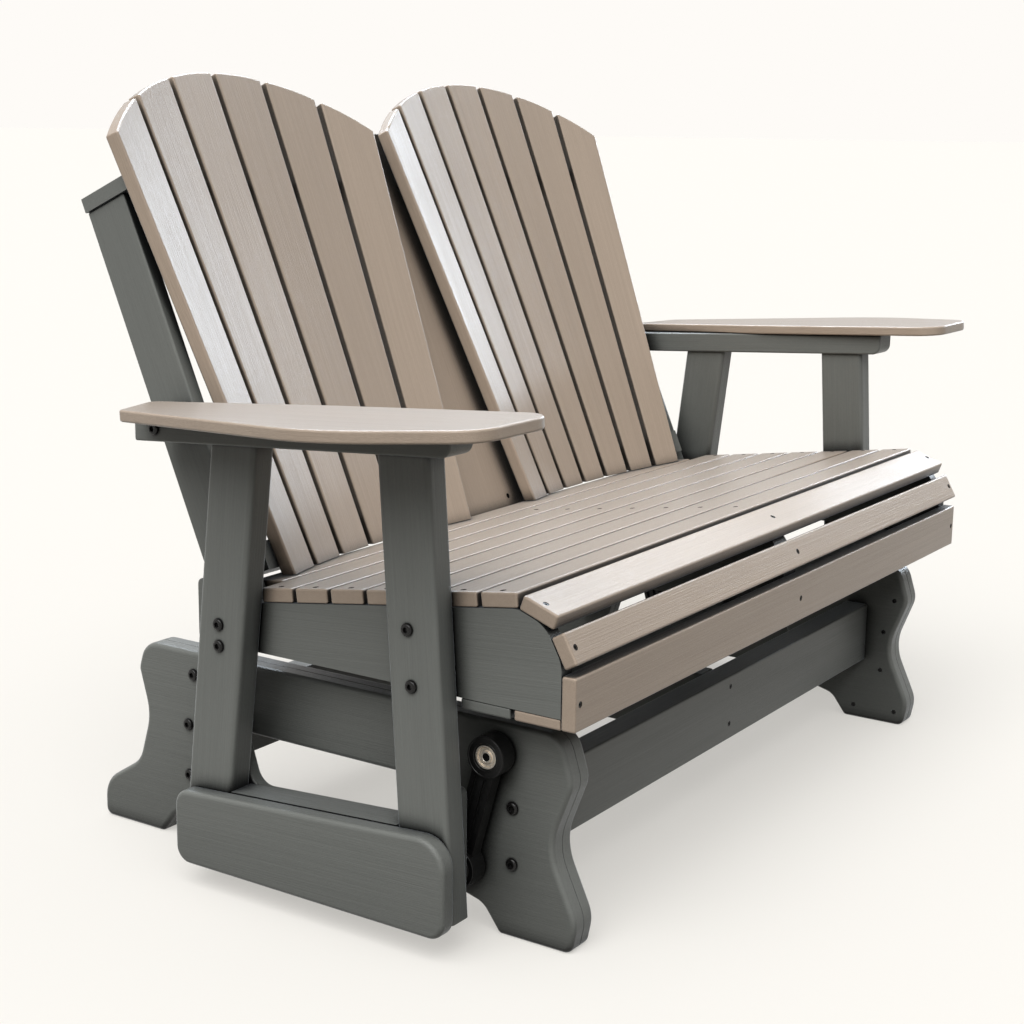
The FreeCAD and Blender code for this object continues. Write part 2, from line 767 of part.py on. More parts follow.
for hand_name, hand in HANDS:
    for layer, inner in (("outer", base_outer - amount("ply_thickness")), ("inner", base_inner)):
        name = "base_panel_%s_%s" % (layer, hand_name)
        where = place(hand_x(hand, inner, amount("ply_thickness")), 0, 0, SIDEWAYS)
        board = outline_board(name + "_board", rounded(panel_outline), "Sizes.ply_thickness", where, "")
        shown_right = (layer == "outer") == (hand > 0)
        shown = amount("ply_thickness") if shown_right else 0
        ease_some(board, "Sizes.panel_round", on_face(shown))
        ease_some(board, "Sizes.panel_seam_round", on_face(amount("ply_thickness") - shown))
        piece(drilled(board, (base_fastener_holes, upper_pivot_holes), name), name)

# Stretchers tie the two end panels, and the brace ties the stretchers.
stretcher_length = "2 * (Sizes.seat_length / 2 - Sizes.lower_plate_thickness - Sizes.link_space"
stretcher_length += " - 2 * Sizes.ply_thickness)"
stretcher_middle = amount("stretcher_bottom") + amount("stretcher_height") / 2
for name, front in (("front_stretcher", front_face), ("rear_stretcher", amount("rear_stretcher_reach"))):
    y = front + amount("frame_thickness") / 2
    where = place(0, y, stretcher_middle, FreeCAD.Rotation(X_AXIS, 90))
    board = plank(name + "_board", stretcher_length, "Sizes.stretcher_height", "Sizes.frame_thickness", where)
    piece(drilled(board, (base_fastener_holes,), name), name)
brace_length = "Sizes.front_stretcher_reach + Sizes.rear_stretcher_reach - Sizes.frame_thickness"
brace_front = front_face + amount("frame_thickness")
where = place(0, (brace_front + amount("rear_stretcher_reach")) / 2, stretcher_middle,
              SIDEWAYS)
board = plank("centre_brace_board", brace_length, "Sizes.stretcher_height", "Sizes.frame_thickness", where)
piece(drilled(board, (base_fastener_holes,), "centre_brace"), "centre_brace")
piece(base_fasteners, "base_fasteners")
piece(upper_pivot_bolts, "upper_pivot_bolts")

# Swing links: a moulded arm between two bosses, each boss bored for a bearing.
link_reach = math.hypot(amount("upper_pivot_half") - amount("lower_pivot_half"),
                        amount("upper_pivot_height") - amount("lower_pivot_height"))
link_lean = math.degrees(math.atan2(amount("upper_pivot_half") - amount("lower_pivot_half"),
                                    amount("upper_pivot_height") - amount("lower_pivot_height")))


def circle_pad(body, name, x, radius, thickness):
    sketch = new_sketch(body, name)
    sketch.addGeometry(Part.Circle(vec(x, 0, 0), vec(0, 0, 1), 10))
    dimension = sketch.addConstraint(Sketcher.Constraint("Radius", 0, 10))
    sketch.renameConstraint(dimension, "radius")
    sketch.setExpression("Constraints.radius", radius)
    return pad(body, sketch, thickness, True)


def swing_link(name):
    """Link lying along X from its upper pivot at the origin, centred on its own thickness."""
    body = new_body(name)
    arm = new_sketch(body, name + "_arm")
    half = amount("link_arm_width") / 2
    arm.addGeometry(rounded([(0, -half, 0), (link_reach, -half, 0), (link_reach, half, 0), (0, half, 0)]))
    pad(body, arm, "Sizes.link_arm_thickness", True)
    for label, x in (("upper", 0), ("lower", link_reach)):
        circle_pad(body, "%s_%s_boss" % (name, label), x, "Sizes.link_boss_radius", "Sizes.link_width")
    groove_start = amount("link_boss_radius") + amount("link_groove_width") / 2
    groove_end = link_reach - groove_start
    for label, side in (("outer", 1), ("inner", -1)):
        grooves = new_sketch(body, "%s_%s_grooves" % (name, label))
        grooves.setExpression("AttachmentOffset.Base.z", "%d * Sizes.link_arm_thickness / 2" % side)
        for offset in (-amount("link_groove_offset"), amount("link_groove_offset")):
            low = offset - amount("link_groove_width") / 2
            high = offset + amount("link_groove_width") / 2
            corner = amount("link_groove_width") / 3
            grooves.addGeometry(rounded([(groove_start, low, corner), (groove_end, low, corner),
                                         (groove_end, high, corner), (groove_start, high, corner)]))
        pocket = body.newObject("PartDesign::Pocket", "%s_%s_pocket" % (name, label))
        pocket.Profile = grooves
        pocket.setExpression("Length", "Sizes.link_groove_depth")
        pocket.Reversed = side < 0
        doc.recompute()
    bores = new_sketch(body, name + "_bores")
    for index, x in enumerate((0, link_reach)):
        bores.addGeometry(Part.Circle(vec(x, 0, 0), vec(0, 0, 1), 10))
        dimension = bores.addConstraint(Sketcher.Constraint("Radius", index, 10))
        bores.renameConstraint(dimension, "bore_%d" % index)
        bores.setExpression("Constraints.bore_%d" % index, "Sizes.bearing_radius")
    pocket = body.newObject("PartDesign::Pocket", name + "_bore_pocket")
    pocket.Profile = bores
    pocket.SideType = "Symmetric"
    pocket.setExpression("Length", "2 * Sizes.link_width")
    doc.recompute()
    return body


def ring(outer, inner, low, high):
    tube = Part.makeCylinder(outer, high - low, vec(0, 0, low))
    return tube.cut(Part.makeCylinder(inner, high - low, vec(0, 0, low)))


def bearing(top):
    """Ball bearing just under top: outer race, inner race and the shield between them."""
    low = top - amount("bearing_width")
    outer = amount("bearing_radius")
    race = amount("race_thickness")
    bore = amount("pivot_radius") + amount("pivot_clearance")
    sunk = amount("shield_recess")
    return [ring(outer, outer - race, low, top), ring(bore + race, bore, low, top),
            ring(outer - race, bore + race, low + sunk, top - sunk)]


for hand_name, hand in HANDS:
    for end, sign in (("front", 1), ("rear", -1)):
        label = "%s_%s" % (end, hand_name)
        lean = FreeCAD.Rotation(X_AXIS, -90 + sign * link_lean)
        turn = lean.multiply(SIDEWAYS)
        where = place(hand * link_middle, pivot_y[end][0], amount("upper_pivot_height"), turn)
        link = swing_link("link_%s_body" % label)
        link.Placement = where
        piece(link, "link_%s" % label)
        upper_top = hand * (link_half - amount("bearing_recess"))
        if hand < 0:
            upper_top += amount("bearing_width")
        lower_top = -upper_top + amount("bearing_width")
        solids = bearing(upper_top)
        if end == "front":
            lower_solids_here = bearing(lower_top)
        else:
            open_bore = amount("pivot_radius") + amount("open_pivot_clearance")
            low = lower_top - amount("bearing_width")
            lower_solids_here = [ring(amount("bearing_radius"), open_bore, low, lower_top)]
        for solid in lower_solids_here:
            solid.translate(vec(link_reach, 0, 0))
            solids.append(solid)
        bearings = group("bearings_%s" % label, solids)
        bearings.Placement = where
        piece(bearings, "bearings_%s" % label)

# Seat rails: level below, following the slats above, with a lip behind for the upright.
rail_drop = slat / math.cos(math.radians(amount("seat_slope")))
nose_back = step(nose_start, nose_inward, slat)
front_back = step(front_start, front_inward, slat)
fascia_back = (slat - fascia_reach, amount("rail_bottom"))
flat_back = (0, seat_top(0) - rail_drop)
crest_corner = meet(flat_back, flat_along, nose_back, nose_along)
nose_corner = meet(nose_back, nose_along, front_back, front_along)
front_corner = meet(front_back, front_along, fascia_back, (0, 1))
lip_front = amount("rail_rear_reach") - amount("rail_rear_lip")
rail_front_outline = [
    (crest_corner[0], crest_corner[1], amount("rail_bend_round") / 2),
    (nose_corner[0], nose_corner[1], amount("rail_bend_round")),
    (front_corner[0], front_corner[1], amount("rail_bend_round")),
    (fascia_back[0], fascia_back[1], 0),
]
side_rail_outline = [
    (amount("rail_rear_reach"), amount("rail_bottom"), amount("plate_corner")),
    (amount("rail_rear_reach"), amount("rail_rear_top"), amount("plate_corner")),
    (lip_front, amount("rail_rear_top"), amount("plate_corner")),
    (lip_front, seat_top(lip_front) - rail_drop, amount("plate_corner")),
] + rail_front_outline
for hand_name, hand in HANDS:
    name = "side_rail_%s" % hand_name
    where = place(hand_x(hand, upright_outer, amount("side_rail_thickness")), 0, 0, SIDEWAYS)
    board = outline_board(name + "_board", rounded(side_rail_outline), "Sizes.side_rail_thickness", where, "")
    piece(drilled(board, (seat_screw_holes, frame_bolt_holes), name), name)
cross_rail_rear = flat_spots[-1][0] + seat_pitch + amount("rear_slat_width") / 2
cross_rail_front = cross_rail_rear - amount("frame_thickness")
centre_rail_outline = [
    (cross_rail_front, amount("rail_bottom"), 0),
    (cross_rail_front, seat_top(cross_rail_front) - rail_drop, 0),
] + rail_front_outline
where = place(-amount("frame_thickness") / 2, 0, 0, SIDEWAYS)
board = outline_board("centre_rail_board", rounded(centre_rail_outline), "Sizes.frame_thickness", where, "")
piece(drilled(board, (seat_screw_holes,), "centre_rail"), "centre_rail")
cross_rail_top = seat_top(cross_rail_rear) - rail_drop
cross_rail_outline = [
    (cross_rail_front, amount("cross_rail_bottom"), 0),
    (cross_rail_rear, amount("cross_rail_bottom"), 0),
    (cross_rail_rear, cross_rail_top, 0),
    (cross_rail_front, seat_top(cross_rail_front) - rail_drop, 0),
]
where = place(-upright_inner, 0, 0, SIDEWAYS)
cross_rail_length = "Sizes.seat_length - 2 * Sizes.side_rail_thickness - 2 * Sizes.upright_thickness"
board = outline_board("cross_rail_board", rounded(cross_rail_outline), cross_rail_length, where, "")
piece(board, "rear_cross_rail")

# Seat slats: seven on the flat run, two over the rounded front edge, the fascia, a slat
# and a board under the front, and a short one between the uprights behind.
flat_slats = []
for number, spot in enumerate(flat_spots):
    centre = step(spot, heading(-amount("seat_slope"))[1], slat / 2)
    flat_slats.append(plank("flat_slat_%d" % (number + 1), "Sizes.seat_length", "Sizes.seat_slat_width",
                            "Sizes.slat_thickness", place(0, centre[0], centre[1], slope_turn)))
seat_slats = doc.addObject("Part::Compound", "flat_slats")
seat_slats.Links = flat_slats
piece(drilled(seat_slats, (seat_screw_holes,), "seat_slats"), "seat_slats")
nose = plank("nose_slat", "Sizes.seat_length", "Sizes.nose_slat_width", "Sizes.slat_thickness",
             slat_place(nose_start, amount("nose_slope"), amount("nose_slat_width")))
front = plank("front_slat", "Sizes.seat_length", "Sizes.front_slat_width", "Sizes.slat_thickness",
              slat_place(front_start, amount("front_slope"), amount("front_slat_width")))
edge_slats = doc.addObject("Part::Compound", "edge_slats")
edge_slats.Links = [nose, front]
piece(drilled(edge_slats, (seat_screw_holes,), "front_edge_slats"), "front_edge_slats")
where = place(0, slat / 2 - fascia_reach, fascia_middle, FreeCAD.Rotation(X_AXIS, 90))
board = plank("fascia_board", "Sizes.seat_length", "Sizes.fascia_width", "Sizes.slat_thickness", where)
piece(drilled(board, (seat_screw_holes,), "fascia_slat"), "fascia_slat")
under_middle = amount("rail_bottom") - amount("under_board_thickness") / 2
under_front = fascia_back[0] + amount("contact_gap")
where = place(0, under_front + amount("under_slat_width") / 2, under_middle)
piece(plank("under_slat_board", "Sizes.seat_length", "Sizes.under_slat_width",
            "Sizes.under_board_thickness", where), "under_slat")
board_front = under_front + amount("under_slat_width") + amount("under_gap")
where = place(0, board_front + amount("under_board_width") / 2, under_middle)
piece(plank("under_board_board", "Sizes.seat_length", "Sizes.under_board_width",
            "Sizes.under_board_thickness", where), "under_board")
rear_front = step(flat_spots[-1], flat_along, amount("seat_slat_width") / 2 + amount("seat_slat_gap"))
rear_spot = step(rear_front, flat_along, amount("rear_slat_width") / 2)
rear_centre = step(rear_spot, heading(-amount("seat_slope"))[1], slat / 2)
rear_length = cross_rail_length + " - 2 * Sizes.rear_slat_end_gap"
piece(plank("rear_slat_board", rear_length, "Sizes.rear_slat_width", "Sizes.slat_thickness",
            place(0, rear_centre[0], rear_centre[1], slope_turn)), "rear_seat_slat")

# Posts lean towards each other at the top and carry the arm rails on their bevelled tops.
post_half = amount("post_width") / 2


def post_edge(end, offset):
    """One edge of a post as a point and an upward direction."""
    if end == "front":
        centre = -amount("front_post_reach")
        lean = math.tan(math.radians(amount("front_post_lean")))
    else:
        centre = amount("rear_post_reach")
        lean = -math.tan(math.radians(amount("rear_post_lean")))
    return (centre + offset, amount("post_level")), (lean, 1)


def on_post(end, offset, level):
    """Point of a post's edge at a height."""
    point, rise = post_edge(end, offset)
    return (point[0] + rise[0] * (level - point[1]), level)


arm_line = ((0, amount("arm_rail_level")), (1, -arm_tan))
for hand_name, hand in HANDS:
    for end in ("front", "rear"):
        name = "post_%s_%s" % (end, hand_name)
        forward = post_edge(end, -post_half)
        behind = post_edge(end, post_half)
        top_forward = meet(forward[0], forward[1], arm_line[0], arm_line[1])
        top_behind = meet(behind[0], behind[1], arm_line[0], arm_line[1])
        foot_forward = on_post(end, -post_half, amount("post_foot"))
        foot_behind = on_post(end, post_half, amount("post_foot"))
        outline = [(point[0], point[1], 0) for point in (foot_forward, foot_behind, top_behind, top_forward)]
        where = place(hand_x(hand, half_seat, amount("frame_thickness")), 0, 0, SIDEWAYS)
        board = outline_board(name + "_board", rounded(outline), "Sizes.frame_thickness", where, "")
        ease_some(board, "Sizes.post_round", lambda edge: edge.Length > 2 * amount("post_width"))
        piece(drilled(board, (frame_bolt_holes, lower_pivot_holes), name), name)

# Lower side rails: an outer skirt lapped over the posts, with a filler between them, and a
# scooped plate inside that carries the lower pivots.
skirt_rear_top = amount("skirt_bottom") + amount("skirt_rear_height")
skirt_front_top = amount("skirt_bottom") + amount("skirt_front_height")
skirt_length = amount("skirt_rear_reach") + amount("skirt_front_reach")
skirt_rise = (skirt_rear_top - skirt_front_top) / skirt_length


def skirt_top(y):
    """Height of the skirt's sloping top edge."""
    return skirt_front_top + (y + amount("skirt_front_reach")) * skirt_rise


skirt_outline = [
    (-amount("skirt_front_reach"), amount("skirt_bottom"), amount("skirt_corner")),
    (amount("skirt_rear_reach"), amount("skirt_bottom"), amount("skirt_corner")),
    (amount("skirt_rear_reach"), skirt_rear_top, amount("skirt_corner")),
    (-amount("skirt_front_reach"), skirt_front_top, amount("skirt_front_corner")),
]
filler_low = amount("skirt_bottom") + amount("filler_drop")
skirt_line = ((0, skirt_top(0)), (1, skirt_rise))
filler_front = post_edge("front", post_half + amount("contact_gap"))
filler_rear = post_edge("rear", -post_half - amount("contact_gap"))
filler_front_top = meet(filler_front[0], filler_front[1], skirt_line[0], skirt_line[1])
filler_rear_top = meet(filler_rear[0], filler_rear[1], skirt_line[0], skirt_line[1])
filler_front_low = on_post("front", post_half + amount("contact_gap"), filler_low)
filler_rear_low = on_post("rear", -post_half - amount("contact_gap"), filler_low)
filler_points = (filler_front_low, filler_rear_low, filler_rear_top, filler_front_top)
filler_outline = [(point[0], point[1], 0) for point in filler_points]
horn_rear = amount("plate_rear_reach") - amount("plate_horn_width")
horn_front = -amount("plate_front_reach") + amount("plate_horn_width")
scoop_rear = horn_rear - amount("plate_scoop_slant")
scoop_front = horn_front + amount("plate_scoop_slant")
plate_outline = [
    (-amount("plate_front_reach"), amount("plate_bottom"), amount("plate_corner")),
    (amount("plate_rear_reach"), amount("plate_bottom"), amount("plate_corner")),
    (amount("plate_rear_reach"), amount("plate_horn_top"), amount("plate_corner")),
    (horn_rear, amount("plate_horn_top"), amount("plate_corner")),
    (scoop_rear, skirt_top(scoop_rear) - amount("plate_sill"), amount("plate_scoop_round")),
    (scoop_front, skirt_top(scoop_front) - amount("plate_sill"), amount("plate_scoop_round")),
    (horn_front, amount("plate_horn_top"), amount("plate_corner")),
    (-amount("plate_front_reach"), amount("plate_horn_top"), amount("plate_corner")),
]
for hand_name, hand in HANDS:
    name = "lower_rail_%s" % hand_name
    where = place(hand_x(hand, post_outer, amount("skirt_thickness")), 0, 0, SIDEWAYS)
    skirt = outline_board(name + "_skirt", rounded(skirt_outline), "Sizes.skirt_thickness", where,
                          "Sizes.skirt_round")
    where = place(hand_x(hand, half_seat, amount("frame_thickness")), 0, 0, SIDEWAYS)
    filler = outline_board(name + "_filler", rounded(filler_outline), "Sizes.frame_thickness", where, "")
    rail = doc.addObject("Part::Fuse", name + "_lap")
    rail.Base = skirt
    rail.Tool = filler
    doc.recompute()
    piece(rail, name)
    name = "lower_plate_%s" % hand_name
    where = place(hand_x(hand, plate_inner, amount("lower_plate_thickness")), 0, 0, SIDEWAYS)
    board = outline_board(name + "_board", rounded(plate_outline), "Sizes.lower_plate_thickness", where)
    piece(drilled(board, (lower_pivot_holes,), name), name)
piece(lower_pivot_bolts, "lower_pivot_bolts")

# Arms: a rail on the post tops and a wide shaped rest on the rail.
arm_rail_outline = [
    (-amount("arm_rail_front_reach"), arm_low(-amount("arm_rail_front_reach")), amount("arm_rail_corner")),
    (amount("arm_rail_rear_reach"), arm_low(amount("arm_rail_rear_reach")), amount("board_round")),
    (amount("arm_rail_rear_reach"), arm_low(amount("arm_rail_rear_reach")) + amount("arm_rail_height"), 0),
    (-amount("arm_rail_front_reach"), arm_low(-amount("arm_rail_front_reach")) + amount("arm_rail_height"), 0),
]
armrest_under = amount("arm_rail_level") + amount("arm_rail_height")
arm_turn = FreeCAD.Rotation(X_AXIS, -amount("arm_slope"))
for hand_name, hand in HANDS:
    name = "arm_rail_%s" % hand_name
    width = arm_rail_outer - arm_rail_inner
    where = place(hand_x(hand, arm_rail_inner, width), 0, 0, SIDEWAYS)
    board = outline_board(name + "_board", rounded(arm_rail_outline),
                          "Sizes.frame_thickness + 2 * Sizes.arm_rail_overlap", where)
    piece(drilled(board, (frame_bolt_holes,), name), name)
    rest_outline = [
        (hand * amount("armrest_rear_inner"), amount("armrest_rear_reach"), amount("armrest_rear_corner")),
        (hand * amount("armrest_rear_outer"), amount("armrest_rear_reach") - amount("armrest_rear_skew"),
         amount("armrest_rear_corner")),
        (hand * amount("armrest_bulge"), -amount("armrest_bulge_reach"), amount("armrest_sweep")),
        (hand * amount("armrest_front_outer"), -amount("armrest_front_reach"), amount("armrest_outer_corner")),
        (hand * amount("armrest_front_inner"), -amount("armrest_front_reach"), amount("armrest_inner_corner")),
        (hand * amount("armrest_waist_inner"), -amount("armrest_waist_reach"), amount("armrest_waist_round")),
    ]
    where = place(0, 0, armrest_under, arm_turn)
    name = "armrest_%s" % hand_name
    rest = outline_board(name + "_board", rounded(rest_outline), "Sizes.armrest_thickness", where)
    piece(rest, name)

# Uprights behind the fans, bolted to the seat rails and the arms.
upright_centre = amount("upright_rear_face") - amount("upright_width") / 2
upright_middle = amount("upright_length") / 2 - amount("upright_foot")
lean_turn = FreeCAD.Rotation(X_AXIS, -amount("recline"))
on_edge = FreeCAD.Rotation(Y_AXIS, 90)
for hand_name, hand in HANDS:
    name = "upright_%s" % hand_name
    root = place(0, amount("back_reach"), amount("back_height"), lean_turn)
    x = hand * (upright_inner + upright_outer) / 2
    local = FreeCAD.Placement(vec(x, upright_centre, upright_middle), on_edge)
    board = plank(name + "_board", "Sizes.upright_length", "Sizes.upright_width", "Sizes.upright_thickness",
                  root.multiply(local))
    piece(drilled(board, (frame_bolt_holes,), name), name)


def back_rail(name, half_length, notch_half, level, thickness):
    """Rail across the back, its front edge scooped to the two fans and notched for the wedge."""
    radius = (fan_root + level) * math.tan(cone_angle) + slat + amount("back_rail_gap")
    bend = radius - slat - amount("back_rail_gap")
    yaw = math.radians(amount("fan_yaw"))
    centre_x = amount("fan_centre") - bend * math.sin(yaw)
    centre_y = -bend * math.cos(yaw)
    rear = amount("upright_rear_face")
    notch = amount("wedge_recess") + slat

    def scoop(x):
        return centre_y + math.sqrt(radius ** 2 - (x - centre_x) ** 2)

    outer = vec(half_length, scoop(half_length), 0)
    middle_x = (half_length + notch_half) / 2
    crown = vec(middle_x, scoop(middle_x), 0)
    inner = vec(notch_half, scoop(notch_half), 0)
    step_in = vec(notch_half, notch, 0)
    corner = vec(half_length, rear, 0)

    def mirror(point):
        return vec(-point.x, point.y, 0)

    geometry = [
        Part.LineSegment(corner, outer),
        Part.Arc(outer, crown, inner),
        Part.LineSegment(inner, step_in),
        Part.LineSegment(step_in, mirror(step_in)),
        Part.LineSegment(mirror(step_in), mirror(inner)),
        Part.Arc(mirror(inner), mirror(crown), mirror(outer)),
        Part.LineSegment(mirror(outer), mirror(corner)),
        Part.LineSegment(mirror(corner), corner),
    ]
    root = place(0, amount("back_reach"), amount("back_height"), lean_turn)
    where = root.multiply(FreeCAD.Placement(vec(0, 0, level), FLAT))
    board = outline_board(name + "_board", geometry, thickness, where, "")
    piece(drilled(board, (back_screw_holes,), name), name)


def wedge_half(level):
    """Half the width of the centre wedge at a height up the back."""
    taper = (amount("wedge_bottom_half") - amount("wedge_top_half")) / amount("wedge_length")
    return amount("wedge_bottom_half") - taper * level


lower_level = amount("lower_back_rail_level")
back_rail("lower_back_rail", upright_inner, wedge_half(lower_level) + amount("wedge_margin"), lower_level,
          "Sizes.lower_back_rail_thickness")
top_notch = wedge_half(top_rail_bottom) + amount("wedge_margin")
back_rail("top_back_rail", upright_outer + amount("top_back_rail_overhang"), top_notch, top_rail_bottom,
          "Sizes.top_back_rail_thickness")

# The back slats end just clear of the seat's surface; the wedge goes on down behind it.
tail_block = doc.addObject("Part::Box", "tail_block")
tail_block.setExpression("Length", "Sizes.seat_length")
tail_block.setExpression("Width", "10 * Sizes.rear_slat_width")
tail_block.setExpression("Height", "4 * Sizes.back_slat_tail")
tail_depth = 4 * amount("back_slat_tail")
tail_root = place(0, 0, seat_top(0) + amount("seat_to_back_gap"), slope_turn)
tail_corner = FreeCAD.Placement(vec(-half_seat, -5 * amount("rear_slat_width"), -tail_depth), FLAT)
tail_block.Placement = tail_root.multiply(tail_corner)

wedge_outline = [
    (-wedge_half(-amount("wedge_tail")), -amount("wedge_tail"), 0),
    (wedge_half(-amount("wedge_tail")), -amount("wedge_tail"), 0),
    (amount("wedge_top_half"), amount("wedge_length"), 0),
    (-amount("wedge_top_half"), amount("wedge_length"), 0),
]
wedge_depth = amount("wedge_recess") + slat
where = wedge_frame.multiply(FreeCAD.Placement(vec(0, 0, -wedge_depth), FLAT))
board = outline_board("centre_wedge_board", rounded(wedge_outline), "Sizes.slat_thickness", where)
piece(drilled(board, (back_screw_holes,), "centre_wedge"), "centre_wedge")


def fan_slat(name, hand, number, count):
    """Tapered slat of a fan, its top cut on the fan's common arc."""
    share = cone_turn / count
    flare = math.sin(cone_angle) * math.tan(share)
    tilt = math.atan(flare) * (2 * number - count + 1)
    gap = amount("fan_slat_gap") / 2
    radius = amount("fan_top_radius")
    rise = fan_root + amount("fan_peak_length") - radius
    reach = math.hypot(rise, amount("fan_top_offset"))
    aim = math.atan2(-hand * amount("fan_top_offset"), rise) - tilt
    arc_x = reach * math.sin(aim)
    arc_y = reach * math.cos(aim)

    def edge(sign, y):
        return vec(sign * (y * flare - gap), y, 0)

    def top(sign):
        a = 1 + flare ** 2
        b = -flare * (gap + sign * arc_x) - arc_y
        c = (gap + sign * arc_x) ** 2 + arc_y ** 2 - radius ** 2
        y = (-b + math.sqrt(b ** 2 - a * c)) / a
        return edge(sign, y)

    low = fan_root - amount("back_slat_tail")
    top_right = top(1)
    top_left = top(-1)
    crown_x = (top_right.x + top_left.x) / 2
    crown = vec(crown_x, arc_y + math.sqrt(radius ** 2 - (crown_x - arc_x) ** 2), 0)
    geometry = [
        Part.LineSegment(edge(-1, low), edge(1, low)),
        Part.LineSegment(edge(1, low), top_right),
        Part.Arc(top_right, crown, top_left),
        Part.LineSegment(top_left, edge(-1, low)),
    ]
    where = slat_frame(hand, number, count).multiply(FreeCAD.Placement(vec(0, 0, -slat), FLAT))
    board = outline_board(name + "_board", geometry, "Sizes.slat_thickness", where)
    piece(drilled(board, (tail_block, back_screw_holes), name), name)


for fan_name, hand, count in fans:
    for number in range(count):
        fan_slat("back_slat_%s_%d" % (fan_name, number + 1), hand, number, count)
piece(slat_screws, "slat_screws")
piece(frame_bolts, "frame_bolts")

doc.recompute()
faults = []
for obj in doc.Objects:
    if "Invalid" in obj.State or "Error" in obj.State:
        faults.append("%s: %s" % (obj.Label, obj.State))
for obj in pieces:
    if obj.Shape.isNull() or not obj.Shape.isValid() or not obj.Shape.Solids:
        faults.append("%s: bad shape" % obj.Label)
if faults:
    raise RuntimeError("; ".join(faults))

os.makedirs("parts", exist_ok=True)
for obj in pieces:
    obj.Shape.exportStep("parts/%s.step" % obj.Label)
print("%d pieces" % len(pieces))
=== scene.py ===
# %% [markdown]
# # A glider loveseat in brushed poly lumber
# The joiner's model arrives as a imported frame: every board, bolt and link already has its
# true size and place, in metres, with the floor at zero height and the sitter facing minus Y.
# Nothing here moves a board. The lesson is about finishes: lumber with a grain that runs the
# way each board was sawn, black coated hardware, turned steel, and a quiet white studio.

# %% Load the frame and keep its box
import bpy
import json
import math
import numpy as np
from mathutils import Matrix, Vector


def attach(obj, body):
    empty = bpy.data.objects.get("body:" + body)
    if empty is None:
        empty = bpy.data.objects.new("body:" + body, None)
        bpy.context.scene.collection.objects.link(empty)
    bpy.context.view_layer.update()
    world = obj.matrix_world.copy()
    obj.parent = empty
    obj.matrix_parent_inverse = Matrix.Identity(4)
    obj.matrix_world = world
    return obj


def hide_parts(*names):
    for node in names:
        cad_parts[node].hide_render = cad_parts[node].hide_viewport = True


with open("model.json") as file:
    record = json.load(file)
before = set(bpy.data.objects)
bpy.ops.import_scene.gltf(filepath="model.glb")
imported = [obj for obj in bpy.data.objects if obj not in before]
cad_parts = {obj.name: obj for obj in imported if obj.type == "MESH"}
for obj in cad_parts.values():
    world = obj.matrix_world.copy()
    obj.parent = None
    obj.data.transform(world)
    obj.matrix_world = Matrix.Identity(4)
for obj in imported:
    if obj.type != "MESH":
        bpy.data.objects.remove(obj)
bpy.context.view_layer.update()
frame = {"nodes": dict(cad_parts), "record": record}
nodes = frame["nodes"]

# %% [markdown]
# The photograph was taken from the left front, a little above the arms, with a long lens.
# A camera can be aimed with a constraint, but three angles written down once are easier to
# check: the heading from the plus Y direction, the dip below level, and a slight roll.

# %% Camera at the photograph's angle
camera_place = Vector((-2.243, -1.4125, 0.965))
camera_heading = 0.9843
camera_dip = 0.2097
camera_roll = 0.0135
camera_lens = 63.13
camera_sensor = 36

forward = Vector((math.sin(camera_heading) * math.cos(camera_dip),
                  math.cos(camera_heading) * math.cos(camera_dip),
                  -math.sin(camera_dip)))
level_right = forward.cross(Vector((0, 0, 1))).normalized()
level_up = level_right.cross(forward)
right = level_right * math.cos(camera_roll) + level_up * math.sin(camera_roll)
up = level_up * math.cos(camera_roll) - level_right * math.sin(camera_roll)

lens = bpy.data.cameras.new("photo_lens")
lens.lens = camera_lens
lens.sensor_width = camera_sensor
camera = bpy.data.objects.new("photo_camera", lens)
camera.matrix_world = Matrix((
    (right.x, up.x, -forward.x, camera_place.x),
    (right.y, up.y, -forward.y, camera_place.y),
    (right.z, up.z, -forward.z, camera_place.z),
    (0, 0, 0, 1),
))
bpy.context.scene.collection.objects.link(camera)
bpy.context.scene.camera = camera
bpy.context.scene.view_settings.view_transform = "Standard"
print("camera looks along", tuple(round(c, 3) for c in forward))

# %% [markdown]
# A material is a small web of nodes. These helpers keep the cells below short: they add a
# node and fill in its sockets, join an output to an input, and write colours the way they
# look on a screen. A material's web starts with its surface shader and its output.

# %% Helpers for node webs
def add_node(tree, kind, **sockets):
    """Adds a node of a kind and sets the sockets named, with spaces written as underscores."""
    node = tree.nodes.new(kind)
    for name, value in sockets.items():
        node.inputs[name.replace("_", " ")].default_value = value
    return node


def join(tree, source, output, target, socket):
    """Joins an output of one node to a socket of another."""
    tree.links.new(source.outputs[output], target.inputs[socket])


def new_material(name):
    """A material with an empty web, its surface shader and its output."""
    material = bpy.data.materials.new(name)
    material.use_nodes = True
    tree = material.node_tree
    tree.nodes.clear()
    shader = tree.nodes.new("ShaderNodeBsdfPrincipled")
    output = tree.nodes.new("ShaderNodeOutputMaterial")
    join(tree, shader, "BSDF", output, "Surface")
    return material, tree, shader


def srgb(red, green, blue):
    """A colour as seen on a screen, 0 to 255, turned into the linear light that shaders use."""
    seen = np.array((red, green, blue)) / 255
    linear = np.where(seen <= 0.04045, seen / 12.92, ((seen + 0.055) / 1.055) ** 2.4)
    return np.append(linear, 1.0)


def shade_of(colour, share):
    """A colour made darker or lighter by a share, with its opacity left at one."""
    return np.append(colour[:3] * share, 1)


# %% [markdown]
# Most of a web is arithmetic on values between nodes: carry a range over to another, add or
# take the larger of two, or mix two colours. A value here is a node, read at its first
# output, or a pair of a node and the output to read.

